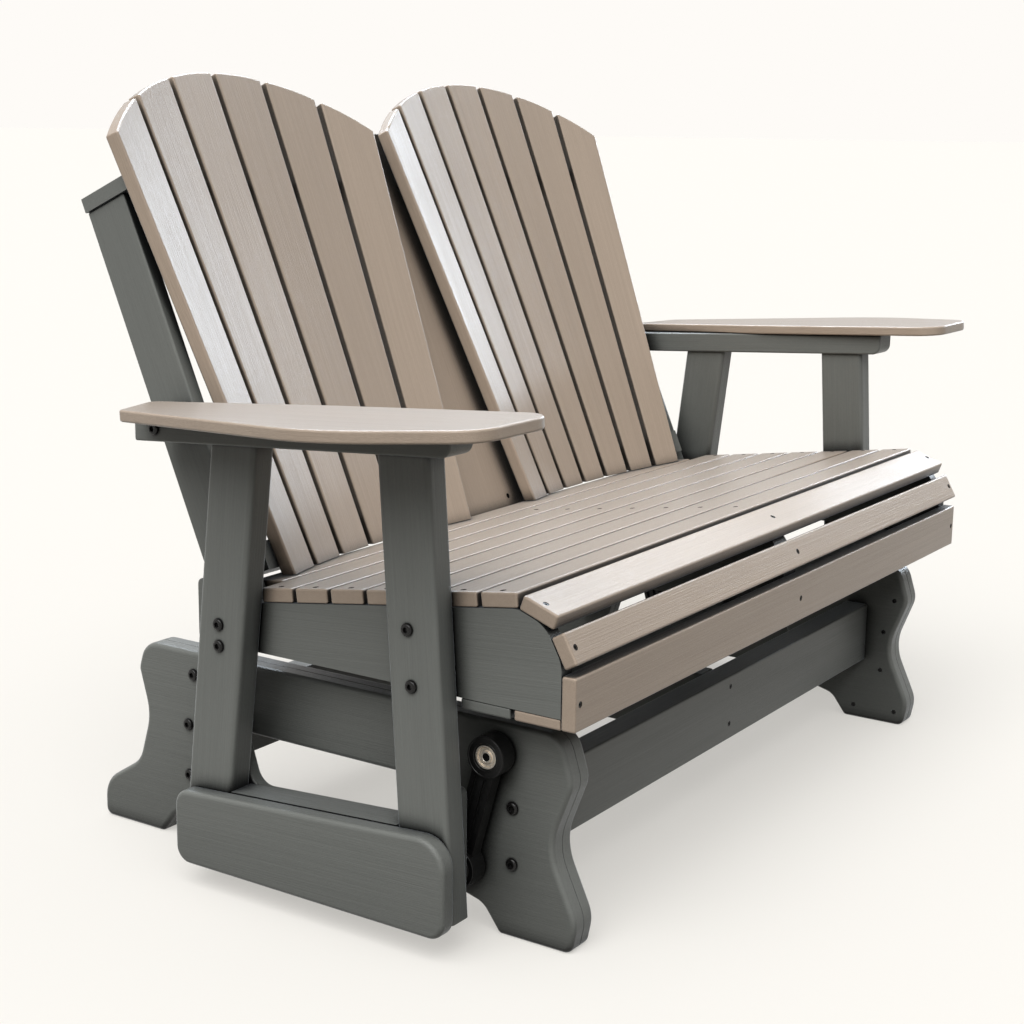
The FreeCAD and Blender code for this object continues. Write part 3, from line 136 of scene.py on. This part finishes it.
# %% Arithmetic between nodes
def feed(tree, value, target, socket):
    """Joins a value, which is a node or a pair of a node and an output, to a socket."""
    source, output = value if isinstance(value, tuple) else (value, 0)
    join(tree, source, output, target, socket)


def remapped(tree, value, low, high, new_low, new_high):
    """A value between low and high carried over to new_low and new_high."""
    node = add_node(tree, "ShaderNodeMapRange", From_Min=low, From_Max=high,
                    To_Min=new_low, To_Max=new_high)
    feed(tree, value, node, "Value")
    return node


def arithmetic(tree, operation, first, second):
    """A sum, difference, product or maximum of two values."""
    node = tree.nodes.new("ShaderNodeMath")
    node.operation = operation
    feed(tree, first, node, 0)
    feed(tree, second, node, 1)
    return node


def mixed(tree, share, first, second):
    """Two colours mixed by a share of the second, each a plain colour or an earlier mix."""
    node = tree.nodes.new("ShaderNodeMix")
    node.data_type = "RGBA"
    feed(tree, share, node, "Factor")
    for socket, colour in (("A", first), ("B", second)):
        if isinstance(colour, np.ndarray):
            node.inputs[socket].default_value = colour
        else:
            join(tree, colour, "Result", node, socket)
    return node


# %% [markdown]
# The studio is a pale floor that runs on to the horizon under a white sky. A white floor
# would throw so much light up that no recess stayed dark, so light that bounces meets a
# darker floor than the camera sees. The floor that the camera sees glows a little, which
# keeps the shadow on it pale.

# %% Floor
floor_half = 300.0
floor_colour = srgb(163, 161, 157)
floor_glow = srgb(252, 249, 243)
floor_glow_share = 0.5
floor_bounce = srgb(98, 95, 91)


def floor_sheet(half, steps):
    """A level square: x and y run evenly from minus half to plus half, and z is zero."""
    line = np.linspace(-half, half, steps)
    x, y = np.meshgrid(line, line, indexing="ij")
    points = np.stack((x, y, np.zeros_like(x)), axis=-1).reshape(-1, 3)
    index = np.arange(steps * steps).reshape(steps, steps)
    faces = np.stack((index[:-1, :-1], index[1:, :-1], index[1:, 1:], index[:-1, 1:]), axis=-1)
    mesh = bpy.data.meshes.new("floor")
    mesh.from_pydata(points.tolist(), [], faces.reshape(-1, 4).tolist())
    return mesh


floor_material = bpy.data.materials.new("pale_floor")
floor_material.use_nodes = True
floor_tree = floor_material.node_tree
floor_tree.nodes.clear()
floor_out = floor_tree.nodes.new("ShaderNodeOutputMaterial")
floor_rays = floor_tree.nodes.new("ShaderNodeLightPath")
floor_lit = add_node(floor_tree, "ShaderNodeBsdfDiffuse", Color=floor_colour)
floor_own = add_node(floor_tree, "ShaderNodeEmission", Color=floor_glow, Strength=floor_glow_share)
floor_shown = floor_tree.nodes.new("ShaderNodeAddShader")
join(floor_tree, floor_lit, 0, floor_shown, 0)
join(floor_tree, floor_own, 0, floor_shown, 1)
floor_dim = add_node(floor_tree, "ShaderNodeBsdfDiffuse", Color=floor_bounce)
floor_mix = floor_tree.nodes.new("ShaderNodeMixShader")
join(floor_tree, floor_rays, "Is Diffuse Ray", floor_mix, 0)
join(floor_tree, floor_shown, 0, floor_mix, 1)
join(floor_tree, floor_dim, 0, floor_mix, 2)
join(floor_tree, floor_mix, 0, floor_out, "Surface")
floor = bpy.data.objects.new("floor", floor_sheet(floor_half, steps=3))
floor.data.materials.append(floor_material)
bpy.context.scene.collection.objects.link(floor)
print("floor", 2 * floor_half, "metres wide")

# %% [markdown]
# A lamp near the object would leave a bright pool on the floor, so the light is an even sky
# and one very soft sun from the upper left, which both reach every part of the floor alike.
# What the camera and the reflections see of the sky is plain white. What lights the boards
# is softer, and brighter overhead than at the horizon, as under a large soft box, so the tops
# of the boards are lit more than their sides.

# %% Sky and sun
sky_seen = srgb(254, 251, 247)
sky_tint = srgb(252, 253, 255)
sky_light = 0.9
sky_low = 0.14
sun_power = 3.0
sun_softness = math.radians(60)
sun_from = Vector((-0.54, -0.12, 0.83))

sky = bpy.data.worlds.new("studio_sky")
bpy.context.scene.world = sky
sky.use_nodes = True
sky_tree = sky.node_tree
sky_tree.nodes.clear()
sky_out = sky_tree.nodes.new("ShaderNodeOutputWorld")
seen = add_node(sky_tree, "ShaderNodeBackground", Color=sky_seen, Strength=1.0)
lit = add_node(sky_tree, "ShaderNodeBackground", Color=sky_tint)
sky_where = sky_tree.nodes.new("ShaderNodeTexCoord")
sky_parts = sky_tree.nodes.new("ShaderNodeSeparateXYZ")
join(sky_tree, sky_where, "Generated", sky_parts, "Vector")
sky_height = remapped(sky_tree, (sky_parts, "Z"), 0.0, 1.0, sky_low, sky_light)
join(sky_tree, sky_height, 0, lit, "Strength")
rays = sky_tree.nodes.new("ShaderNodeLightPath")
glossy_or_seen = arithmetic(sky_tree, "MAXIMUM", (rays, "Is Camera Ray"), (rays, "Is Glossy Ray"))
with_glass = arithmetic(sky_tree, "MAXIMUM", glossy_or_seen, (rays, "Is Transmission Ray"))
sky_mix = sky_tree.nodes.new("ShaderNodeMixShader")
join(sky_tree, with_glass, 0, sky_mix, 0)
join(sky_tree, lit, 0, sky_mix, 1)
join(sky_tree, seen, 0, sky_mix, 2)
join(sky_tree, sky_mix, 0, sky_out, "Surface")

sun_lamp = bpy.data.lights.new("soft_sun", "SUN")
sun_lamp.energy = sun_power
sun_lamp.angle = sun_softness
sun = bpy.data.objects.new("soft_sun", sun_lamp)
sun.rotation_euler = sun_from.to_track_quat("Z", "Y").to_euler()
bpy.context.scene.collection.objects.link(sun)
print("sky", sky_light, "sun", sun_power)

# %% [markdown]
# The satin boards show a cool sheen where they turn away from the camera: along the nose of
# the seat, down the left slats of each fan, and on the arms. They mirror bright panels off to
# the right and behind: one for the nose, a lower one for the slats, and a high one beyond the
# backs for the arms. Lamps of that size stand in for them. They are left out of the plain
# lighting, so that they only show as reflections and leave no pool of light on the floor.

# %% Bright panels for the sheen
panel_colour = (0.80, 0.90, 1.0)


def sheen_panel(name, place, aim, width, height, power):
    """A cool rectangular lamp that only shiny surfaces see."""
    lamp = bpy.data.lights.new(name, "AREA")
    lamp.shape = "RECTANGLE"
    lamp.size = width
    lamp.size_y = height
    lamp.energy = power
    lamp.color = panel_colour
    panel = bpy.data.objects.new(name, lamp)
    panel.location = place
    panel.rotation_euler = (Vector(place) - Vector(aim)).to_track_quat("Z", "Y").to_euler()
    panel.visible_camera = False
    panel.visible_diffuse = False
    bpy.context.scene.collection.objects.link(panel)
    print(name, width, "by", height, "metres")


sheen_panel("nose_panel", place=(4.4, 0.3, 4.3), aim=(-0.4, -0.4, 0.45),
            width=2.0, height=1.4, power=175)
sheen_panel("slat_panel", place=(12.0, -0.1, 3.4), aim=(-0.4, 0.2, 0.8),
            width=4.6, height=2.2, power=930)
sheen_panel("arm_panel", place=(2.0, 2.15, 4.2), aim=(-0.5, -0.1, 0.6),
            width=3.0, height=1.6, power=560)

# %% [markdown]
# Poly lumber is pressed plastic board, brushed along its length so that it looks like sawn
# wood. The brush leaves fine scratches that run the length of the board, broader streaks of
# tone, and a satin sheen. A picture of the grain would need unwrapping; noise that is
# stretched along the board gives it for any board, as long as the board's own directions are
# known. They are the spreads of its corners, longest first, which numpy finds from the mesh.

# %% Which way each board runs
def corner_array(obj):
    """All corners of a mesh as rows of x, y, z."""
    flat = np.empty(len(obj.data.vertices) * 3, np.float32)
    obj.data.vertices.foreach_get("co", flat)
    return flat.reshape(-1, 3).astype(float)


def board_axes(obj):
    """Rows along, across and through a board: the directions of its corners' spread."""
    corners = corner_array(obj)
    centred = corners - (corners.min(axis=0) + corners.max(axis=0)) / 2
    directions = np.linalg.eigh(centred.T @ centred)[1]
    along, across = directions[:, 2], directions[:, 1]
    along = along * np.sign(along[np.argmax(np.abs(along))])
    across = across * np.sign(across[np.argmax(np.abs(across))])
    return np.stack((along, across, np.cross(along, across)))


print("a back slat runs along", board_axes(nodes["back_slat_left_1"])[0].round(3))

# %% [markdown]
# The grain has four layers, all on the board's own coordinates: hair-fine scratches, broader
# streaks, a slow drift of tone, and small flecks. Each is noise, squeezed across the board by
# the second and third numbers of its stretch and much less along it by the first.

# %% Layers of grain
scratch_stretch = (5, 620, 620)
streak_stretch = (1.6, 95, 95)
drift_stretch = (1.2, 7, 7)
fleck_stretch = (140, 700, 700)


def stretched_noise(tree, source, scale, detail):
    """Noise on coordinates that are multiplied by scale along each of the board's axes."""
    stretch = add_node(tree, "ShaderNodeMapping", Scale=scale)
    join(tree, source, 0, stretch, "Vector")
    noise = add_node(tree, "ShaderNodeTexNoise", Scale=1.0, Detail=detail, Roughness=0.6)
    join(tree, stretch, 0, noise, "Vector")
    return noise


def grain_layers(tree, turn):
    """Fine grain, slow grain and the drift alone: noises carried over to plus and minus shares."""
    scratches = stretched_noise(tree, turn, scratch_stretch, 3)
    streaks = stretched_noise(tree, turn, streak_stretch, 4)
    drift = stretched_noise(tree, turn, drift_stretch, 2)
    flecks = stretched_noise(tree, turn, fleck_stretch, 2)
    fine = arithmetic(tree, "ADD", remapped(tree, scratches, 0.3, 0.7, -0.34, 0.34),
                      remapped(tree, streaks, 0.3, 0.7, -0.18, 0.18))
    slow = arithmetic(tree, "ADD", remapped(tree, drift, 0.3, 0.7, -0.16, 0.16),
                      remapped(tree, flecks, 0.35, 0.65, -0.12, 0.12))
    return fine, slow, drift


# %% [markdown]
# The rounded arrises get a painted highlight, a little paler, and are a little smoother. An arris
# is where the surface faces none of the board's three directions squarely, so the largest part of
# its normal is small. The slits between boards get painted shade, darker where an occlusion node
# finds little of the space near a point open. The same node with a longer reach finds nooks, such
# as the frame under the seat, where the grey boards get more painted shade.

# %% Painted arris highlight and painted shade
square_facing, arris_facing = 0.92, 0.74
open_samples = 8


def painted_arris_highlight(tree, place, turning, patches):
    """Share of painted highlight: rises as the largest part of the normal falls, broken up by
    patches.
    """
    facing = add_node(tree, "ShaderNodeMapping", Rotation=turning)
    facing.vector_type = "VECTOR"
    join(tree, place, "Normal", facing, "Vector")
    size = tree.nodes.new("ShaderNodeVectorMath")
    size.operation = "ABSOLUTE"
    join(tree, facing, 0, size, 0)
    parts = tree.nodes.new("ShaderNodeSeparateXYZ")
    join(tree, size, 0, parts, 0)
    largest = arithmetic(tree, "MAXIMUM", (parts, "X"), (parts, "Y"))
    overall = arithmetic(tree, "MAXIMUM", largest, (parts, "Z"))
    bare = remapped(tree, overall, square_facing, arris_facing, 0.0, 1.0)
    return arithmetic(tree, "MULTIPLY", bare, remapped(tree, patches, 0.3, 0.65, 0.35, 1.0))


def openness(tree, reach, shut, clear, least):
    """How open the space within reach is: least where it is shut, rising to one where clear."""
    around = add_node(tree, "ShaderNodeAmbientOcclusion", Distance=reach)
    around.samples = open_samples
    return remapped(tree, (around, "AO"), shut, clear, least, 1.0)


# %% [markdown]
# The lumber's web puts these together. The grain mixes a darker and a paler band of the
# board's colour, makes the scratches rougher than the bands between, and lifts a fine bump.
# The painted arris highlight and painted shade are mixed over it. Boards that run the same way
# share one material, and each material has a slightly different tone, as boards from one batch do.

# %% Brushed lumber
dark_band, pale_band = 0.88, 1.11
# Painted highlight on the rounded arrises: their colour is lifted above the board's tone; the
# polish makes them smoother.
arris_highlight_shade, arris_highlight_share, arris_polish = 1.15, 0.55, 0.06
# Painted shade in the slits between boards: the colour drops to this share where little space is
# open.
slit_painted_shade = 0.06
slit_reach, slit_shut, slit_clear = 0.03, 0.46, 0.90
nook_reach, nook_shut, nook_clear = 0.3, 0.3, 0.8
satin_smooth, satin_rough = 0.32, 0.44


def brushed_lumber(name, colour, axes, nook_shade):
    """Satin brushed board: the noise is stretched along the first of the board's axes."""
    material, tree, shader = new_material(name)
    place = tree.nodes.new("ShaderNodeTexCoord")
    turning = Matrix(axes.tolist()).to_euler()
    turn = add_node(tree, "ShaderNodeMapping", Rotation=turning)
    join(tree, place, "Object", turn, "Vector")
    fine, slow, drift = grain_layers(tree, turn)
    grain = arithmetic(tree, "ADD", fine, slow)
    # Mask of the painted highlight along the arrises; it also lowers their roughness.
    arris_highlight = painted_arris_highlight(tree, place, turning, drift)
    board = mixed(tree, remapped(tree, grain, -0.7, 0.7, 0.0, 1.0),
                  shade_of(colour, dark_band), shade_of(colour, pale_band))
    arris_lit = mixed(tree, remapped(tree, arris_highlight, 0.0, 1.0, 0.0, arris_highlight_share),
                   board, shade_of(colour, arris_highlight_shade))
    # Painted shade in the slits between boards, found by an occlusion node.
    open_slit = openness(tree, slit_reach, slit_shut, slit_clear, 0.0)
    slit_shaded = mixed(tree, open_slit, shade_of(colour, slit_painted_shade), arris_lit)
    shaded = tree.nodes.new("ShaderNodeVectorMath")
    shaded.operation = "SCALE"
    join(tree, slit_shaded, "Result", shaded, 0)
    # Painted shade in nooks such as the frame under the seat, found by a longer-reach occlusion
    # node.
    open_nook = openness(tree, nook_reach, nook_shut, nook_clear, 1 - nook_shade)
    join(tree, open_nook, 0, shaded, "Scale")
    join(tree, shaded, 0, shader, "Base Color")
    shader.inputs["Specular IOR Level"].default_value = 0.22
    shader.inputs["Sheen Weight"].default_value = 0.5
    shader.inputs["Sheen Roughness"].default_value = 0.3
    shader.inputs["Sheen Tint"].default_value = (0.86, 0.93, 1.0, 1.0)
    brushed = remapped(tree, fine, -0.5, 0.5, satin_rough, satin_smooth)
    polish = remapped(tree, arris_highlight, 0.0, 1.0, 0.0, arris_polish)
    join(tree, arithmetic(tree, "SUBTRACT", brushed, polish), 0, shader, "Roughness")
    bump = add_node(tree, "ShaderNodeBump", Strength=0.35, Distance=0.0006)
    join(tree, grain, 0, bump, "Height")
    join(tree, bump, "Normal", shader, "Normal")
    return material


def dress(obj, material):
    """Gives a piece one material in place of those it came with."""
    obj.data.materials.clear()
    obj.data.materials.append(material)


lumber_colour = {"tan_lumber": srgb(165, 149, 133), "grey_lumber": srgb(110, 112, 108)}
# Share of painted shade in nooks: little on the tan boards, most on the grey.
lumber_painted_nook_shade = {"tan_lumber": 0.15, "grey_lumber": 0.5}
tone_low, tone_high = 0.975, 1.025
tone = np.random.default_rng(11)
slot_of = {row["node"]: row["material_slot"] for row in frame["record"]["subparts"]}
lumber_done = {}
for name, obj in sorted(nodes.items()):
    slot = slot_of[name]
    if slot not in lumber_colour:
        continue
    axes = board_axes(obj)
    key = (slot,) + tuple(axes[:2].round(2).ravel())
    if key not in lumber_done:
        colour = lumber_colour[slot] * tone.uniform(tone_low, tone_high)
        title = "%s_%02d" % (slot, len(lumber_done) + 1)
        lumber_done[key] = brushed_lumber(title, colour, axes, lumber_painted_nook_shade[slot])
    dress(obj, lumber_done[key])
print("lumber finishes:", len(lumber_done))

# %% [markdown]
# The bolts and screws are coated black, the links are moulded black, and the bearings in
# them are bright turned steel. All three are small, so a little cloudiness and a soft bump
# are enough to keep them from looking like painted discs.

# %% Hardware finishes
cloud_dark, cloud_pale = 0.9, 1.1
peel_fineness = 9


def coated(name, colour, metal, smooth, rough, cloud, lift):
    """A coating with cloudy roughness and a faint orange-peel bump of the given strength."""
    material, tree, shader = new_material(name)
    place = tree.nodes.new("ShaderNodeTexCoord")
    clouds = add_node(tree, "ShaderNodeTexNoise", Scale=cloud, Detail=4.0, Roughness=0.6)
    join(tree, place, "Object", clouds, "Vector")
    peel = add_node(tree, "ShaderNodeTexNoise", Scale=cloud * peel_fineness, Detail=2.0,
                    Roughness=0.5)
    join(tree, place, "Object", peel, "Vector")
    tones = mixed(tree, clouds, shade_of(colour, cloud_dark), shade_of(colour, cloud_pale))
    join(tree, tones, "Result", shader, "Base Color")
    join(tree, remapped(tree, clouds, 0.3, 0.7, smooth, rough), 0, shader, "Roughness")
    shader.inputs["Metallic"].default_value = metal
    shader.inputs["Specular IOR Level"].default_value = 0.3
    bump = add_node(tree, "ShaderNodeBump", Strength=lift, Distance=0.0002)
    join(tree, peel, 0, bump, "Height")
    join(tree, bump, "Normal", shader, "Normal")
    return material


hardware_finish = {
    "black_hardware": coated("black_hardware", srgb(12, 11, 11), metal=0.0,
                             smooth=0.2, rough=0.32, cloud=160, lift=0.12),
    "black_link": coated("black_link", srgb(14, 14, 14), metal=0.0,
                         smooth=0.32, rough=0.44, cloud=90, lift=0.15),
    "bearing_steel": coated("bearing_steel", srgb(226, 217, 204), metal=0.7,
                            smooth=0.24, rough=0.34, cloud=60, lift=0.02),
}
for name, obj in nodes.items():
    if slot_of[name] in hardware_finish:
        dress(obj, hardware_finish[slot_of[name]])
print("hardware finishes:", len(hardware_finish))

# %% [markdown]
# The frame's bolts are plain rods with flat heads. The real heads are low domes with a six
# sided socket, and the slat screws have a star recess, dark against the tan boards. Each
# fastener is measured from the frame: its solids are told apart by which triangles share
# corners, and the long axis of each gives its direction, its head being the wider end.

# %% Measure the fasteners
weld = 1e-5
end_slack = 1e-4
rim_slack = 2e-4


def loose_solids(obj):
    """Corners of each separate solid: corners that share a triangle take the lowest label."""
    corners = corner_array(obj)
    grid, same = np.unique(np.round(corners / weld).astype(int), axis=0, return_inverse=True)
    loops = np.empty(len(obj.data.loops), int)
    obj.data.loops.foreach_get("vertex_index", loops)
    triangles = same.ravel()[loops].reshape(-1, 3)
    label = np.arange(len(grid))
    settled = False
    while not settled:
        lowest = label.copy()
        np.minimum.at(lowest, triangles.ravel(), np.repeat(label[triangles].min(axis=1), 3))
        lowest = lowest[lowest]
        settled = np.array_equal(lowest, label)
        label = lowest
    return [grid[label == value] * weld for value in np.unique(label)]


def measure_fastener(corners):
    """Head centre, direction out of the head, length, head radius and height, shank radius."""
    middle = corners.mean(axis=0)
    axis = np.linalg.eigh((corners - middle).T @ (corners - middle))[1][:, -1]
    along = (corners - middle) @ axis
    around = np.linalg.norm(corners - middle - np.outer(along, axis), axis=1)
    at_high = around[along > along.max() - end_slack].max()
    at_low = around[along < along.min() + end_slack].max()
    if at_low > at_high:
        axis = -axis
        along = -along
    wide = around > around.max() - rim_slack
    shank = around[along < along.min() + end_slack].max()
    centre = middle + axis * along.max()
    length = along.max() - along.min()
    head_height = along.max() - along[wide].min()
    return centre, axis, length, around.max(), head_height, shank


slat_screw_sizes = [measure_fastener(solid) for solid in loose_solids(nodes["slat_screws"])]
slat_screw_head = slat_screw_sizes[0][3]
print("slat screws:", len(slat_screw_sizes), "head radius", round(slat_screw_head * 1000, 2), "mm")

# %% [markdown]
# A turned piece is a profile carried round its axis. Only a socket is not round, so each ring
# also says how much of the socket's outline it follows. All rings of all fasteners on one
# node are worked out as arrays and become one mesh, which rides on the body of its node.

# %% Turned pieces
sharp_from = math.radians(38)
x_axis = np.array((1.0, 0, 0))
lobe_depth = 0.22
bolt_steps, screw_steps, bearing_steps = 48, 36, 64


def hexagon(angle):
    """Six flats: the cosine of 30 degrees over the cosine of the angle from the nearest flat."""
    return math.cos(math.pi / 6) / np.cos(angle % (math.pi / 3) - math.pi / 6)


def star(angle):
    """Six lobes: a circle swollen and pinched by a cosine of six times the angle."""
    return 1 + lobe_depth * np.cos(6 * angle)


def lathe_rings(centre, axis, radii, heights, outline, follow, steps):
    """Rings about an axis: radius times a mix of a circle and an outline, raised by heights."""
    side = np.cross(axis, np.where(np.abs(axis) < 0.7, 1.0, 0.0))
    side /= np.linalg.norm(side)
    other = np.cross(axis, side)
    angle = np.linspace(0, 2 * np.pi, steps, endpoint=False)
    shape = 1 + follow[:, None] * (outline(angle)[None, :] - 1)
    reach = radii[:, None] * shape
    flat = reach[..., None] * (np.cos(angle)[:, None] * side + np.sin(angle)[:, None] * other)
    return centre + flat + (heights[:, None] * axis)[:, None, :]


def round_rings(centre, axis, profile, steps):
    """Plain circles about an axis: the profile's rows are radius and height."""
    radii, heights = profile.T
    return lathe_rings(centre, axis, radii, heights, np.ones_like, np.zeros(len(profile)), steps)


def rings_to_mesh(name, stacks):
    """One mesh from stacks of rings: quads join ring to ring, and a tube closes on itself."""
    points = []
    faces = []
    first = 0
    for rings, tube in stacks:
        rows, steps = rings.shape[:2]
        index = first + np.arange(rows * steps).reshape(rows, steps)
        ends = [] if tube else [index[0].tolist(), index[-1][::-1].tolist()]
        index = np.concatenate((index, index[:1])) if tube else index
        after = np.roll(index, -1, axis=1)
        quads = np.stack((index[:-1], index[1:], after[1:], after[:-1]), axis=-1).reshape(-1, 4)
        points.append(rings.reshape(-1, 3))
        faces += quads.tolist() + ends
        first += rows * steps
    mesh = bpy.data.meshes.new(name)
    mesh.from_pydata(np.concatenate(points).tolist(), [], faces)
    mesh.polygons.foreach_set("use_smooth", np.ones(len(mesh.polygons), bool))
    mesh.set_sharp_from_angle(angle=sharp_from)
    return mesh


def place_piece(name, stacks, finish, body):
    """Puts a new piece made of rings in the scene, with its finish, on the body it rides."""
    piece = bpy.data.objects.new(name, rings_to_mesh(name, stacks))
    bpy.context.scene.collection.objects.link(piece)
    dress(piece, hardware_finish[finish])
    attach(piece, body)
    return piece


# %% [markdown]
# A fastener's profile runs from the middle of the socket's floor, up the socket's wall, over
# the dome, down to the shank and on to its tip. In the photograph the bolt heads look a little
# wider than the frame's plain ones, so they are swollen by that share.

# %% Shapes of the fasteners
head_swell = 1.17
socket_share = 0.5
socket_rim = 1.12
dome_drop = 0.55
recess_share = 0.48


def domed_bolt(centre, axis, length, head, height, shank):
    """Low dome with a six sided socket, on a plain shank."""
    head = head * head_swell
    socket = head * socket_share
    dome = np.linspace(0, 1, 7)
    dome_radius = socket * socket_rim + (head - socket * socket_rim) * np.sin(dome * np.pi / 2)
    dome_height = -height * dome_drop * (1 - np.cos(dome * np.pi / 2))
    radii = np.concatenate(((socket * 0.05, socket * 0.96, socket), dome_radius,
                            (head, head * 0.97, shank, shank, shank * 0.7)))
    heights = np.concatenate(((-height * 0.72, -height * 0.7, -height * 0.04), dome_height,
                              (-height * 0.9, -height, -height, -length + shank * 0.5, -length)))
    follow = np.append(np.ones(3), np.zeros(len(radii) - 3))
    return lathe_rings(centre, axis, radii, heights, hexagon, follow, bolt_steps)


def star_screw(centre, axis, length, head, height, shank):
    """Flat head with a rounded rim and a star recess, on a plain shank."""
    recess = head * recess_share
    radii = np.array((recess * 0.05, recess * 0.85, recess, head * 0.82, head * 0.95, head, head,
                      shank, shank, shank * 0.3))
    heights = np.array((-0.75, -0.72, -0.02, 0.0, -0.04, -0.14, -0.6, -1.0, 0.0, 0.0)) * height
    heights[-2:] = (-length + shank * 2, -length)
    follow = np.append(np.ones(3), np.zeros(len(radii) - 3))
    return lathe_rings(centre, axis, radii, heights, star, follow, screw_steps)


def ring_facts(corners):
    """Middle, half width along X, inner radius and outer radius of a ring about X."""
    low, high = corners.min(axis=0), corners.max(axis=0)
    middle = (low + high) / 2
    around = np.linalg.norm((corners - middle)[:, 1:], axis=1)
    return middle, (high[0] - low[0]) / 2, around.min(), around.max()


def spacer_tube(corners):
    """Short tube about X: out along its outer wall and back along its bore, shut on itself."""
    middle, half, bore, rim = ring_facts(corners)
    ease = half * 0.06
    profile = np.array(((bore, half), (rim - ease, half), (rim, half - ease), (rim, ease - half),
                        (rim - ease, -half), (bore, -half)))
    return round_rings(middle, x_axis, profile, bolt_steps)


# %% [markdown]
# Each node of fasteners is taken apart, measured and made again. Its widest solids are
# spacers, the next are bolts, and the narrow ones are screws.

# %% Remake the fasteners
spacer_from = 0.009
bolt_from = 0.005


def dressed_fasteners(node, body):
    """Remakes a node: spacers as tubes, wide heads as domed bolts, narrow ones as star screws."""
    stacks = []
    for corners in loose_solids(nodes[node]):
        facts = measure_fastener(corners)
        head = facts[3]
        if head > spacer_from:
            stacks.append((spacer_tube(corners), True))
        elif head > bolt_from:
            stacks.append((domed_bolt(*facts), False))
        else:
            stacks.append((star_screw(*facts), False))
    piece = place_piece(node + "_heads", stacks, "black_hardware", body)
    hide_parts(node)
    print(node, "fasteners:", len(stacks), "faces:", len(piece.data.polygons))


dressed_fasteners("slat_screws", "seat")
dressed_fasteners("frame_bolts", "seat")
dressed_fasteners("base_fasteners", "base")

# %% [markdown]
# Each swing link turns on ball bearings pressed into its bosses. The frame has plain rings;
# the real ones show a polished inner and outer race with a dark slit each side of a thin
# shield. That is one profile with two grooves, carried round the axis and closed on itself.
# The boss around them is moulded with two raised ridges, made the same way.

# %% Shapes of the bearings and boss ridges
race = 0.0023
slit = 0.0009
slit_depth = 0.0026
shield_drop = 0.0014
corner_ease = 0.0004
wide_ring = 0.008
ridge_offsets = (0.0014, 0.0086)
ridge_width = 0.0016
ridge_height = 0.0009


def grooved_bearing(middle, half, bore, rim):
    """Ring about X with eased corners; a wide one has two grooves and a sunk shield between."""
    front = [(bore, half - corner_ease), (bore + corner_ease, half)]
    if rim - bore > wide_ring:
        inner = bore + race
        outer = rim - race
        front += [(inner, half), (inner + slit / 2, half - slit_depth),
                  (inner + slit * 1.5, half - slit_depth), (inner + slit * 2, half - shield_drop),
                  (outer - slit * 2, half - shield_drop), (outer - slit * 1.5, half - slit_depth),
                  (outer - slit / 2, half - slit_depth), (outer, half)]
    front += [(rim - corner_ease, half), (rim, half - corner_ease)]
    profile = np.array(front)
    profile = np.concatenate((profile, profile[::-1] * (1, -1)))
    return round_rings(middle, x_axis, profile, bearing_steps)


def boss_ridge(middle, inner, side):
    """Low ring standing on a boss, sunk a little into it, with eased shoulders."""
    outer = inner + ridge_width
    ease = ridge_height * 0.45
    profile = np.array(((inner, -ease), (inner, ease), (inner + ease, ridge_height),
                        (outer - ease, ridge_height), (outer, ease), (outer, -ease)))
    return round_rings(middle, side * x_axis, profile, bearing_steps)


# %% [markdown]
# The rings of one node are sorted into those of the upper and of the lower boss, and each
# boss gets one bearing and two ridges. The ridges stand on the link's outer face, which is
# its side furthest from the middle of the glider.

# %% Bearings and boss ridges
for end in ("front_left", "front_right", "rear_left", "rear_right"):
    link = "link_" + end
    rings = loose_solids(nodes["bearings_" + end])
    link_corners = corner_array(nodes[link])
    side = np.sign(link_corners[:, 0].mean())
    face = np.abs(link_corners[:, 0]).max() * side
    bearing_stacks = []
    ridge_stacks = []
    tops = np.array([ring.max(axis=0)[2] for ring in rings])
    is_upper = tops > tops.mean()
    for level in np.unique(is_upper):
        corners = np.concatenate([ring for ring, upper in zip(rings, is_upper) if upper == level])
        middle, half, bore, rim = ring_facts(corners)
        bearing_stacks.append((grooved_bearing(middle, half, bore, rim), True))
        boss = np.array((face, middle[1], middle[2]))
        for offset in ridge_offsets:
            ridge_stacks.append((boss_ridge(boss, rim + offset, side), True))
    bearing = place_piece("ball_bearings_" + end, bearing_stacks, "bearing_steel", link)
    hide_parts("bearings_" + end)
    place_piece("boss_ridges_" + end, ridge_stacks, "black_link", link)
    print(end, "bearings:", len(bearing_stacks), "ridges:", len(ridge_stacks))
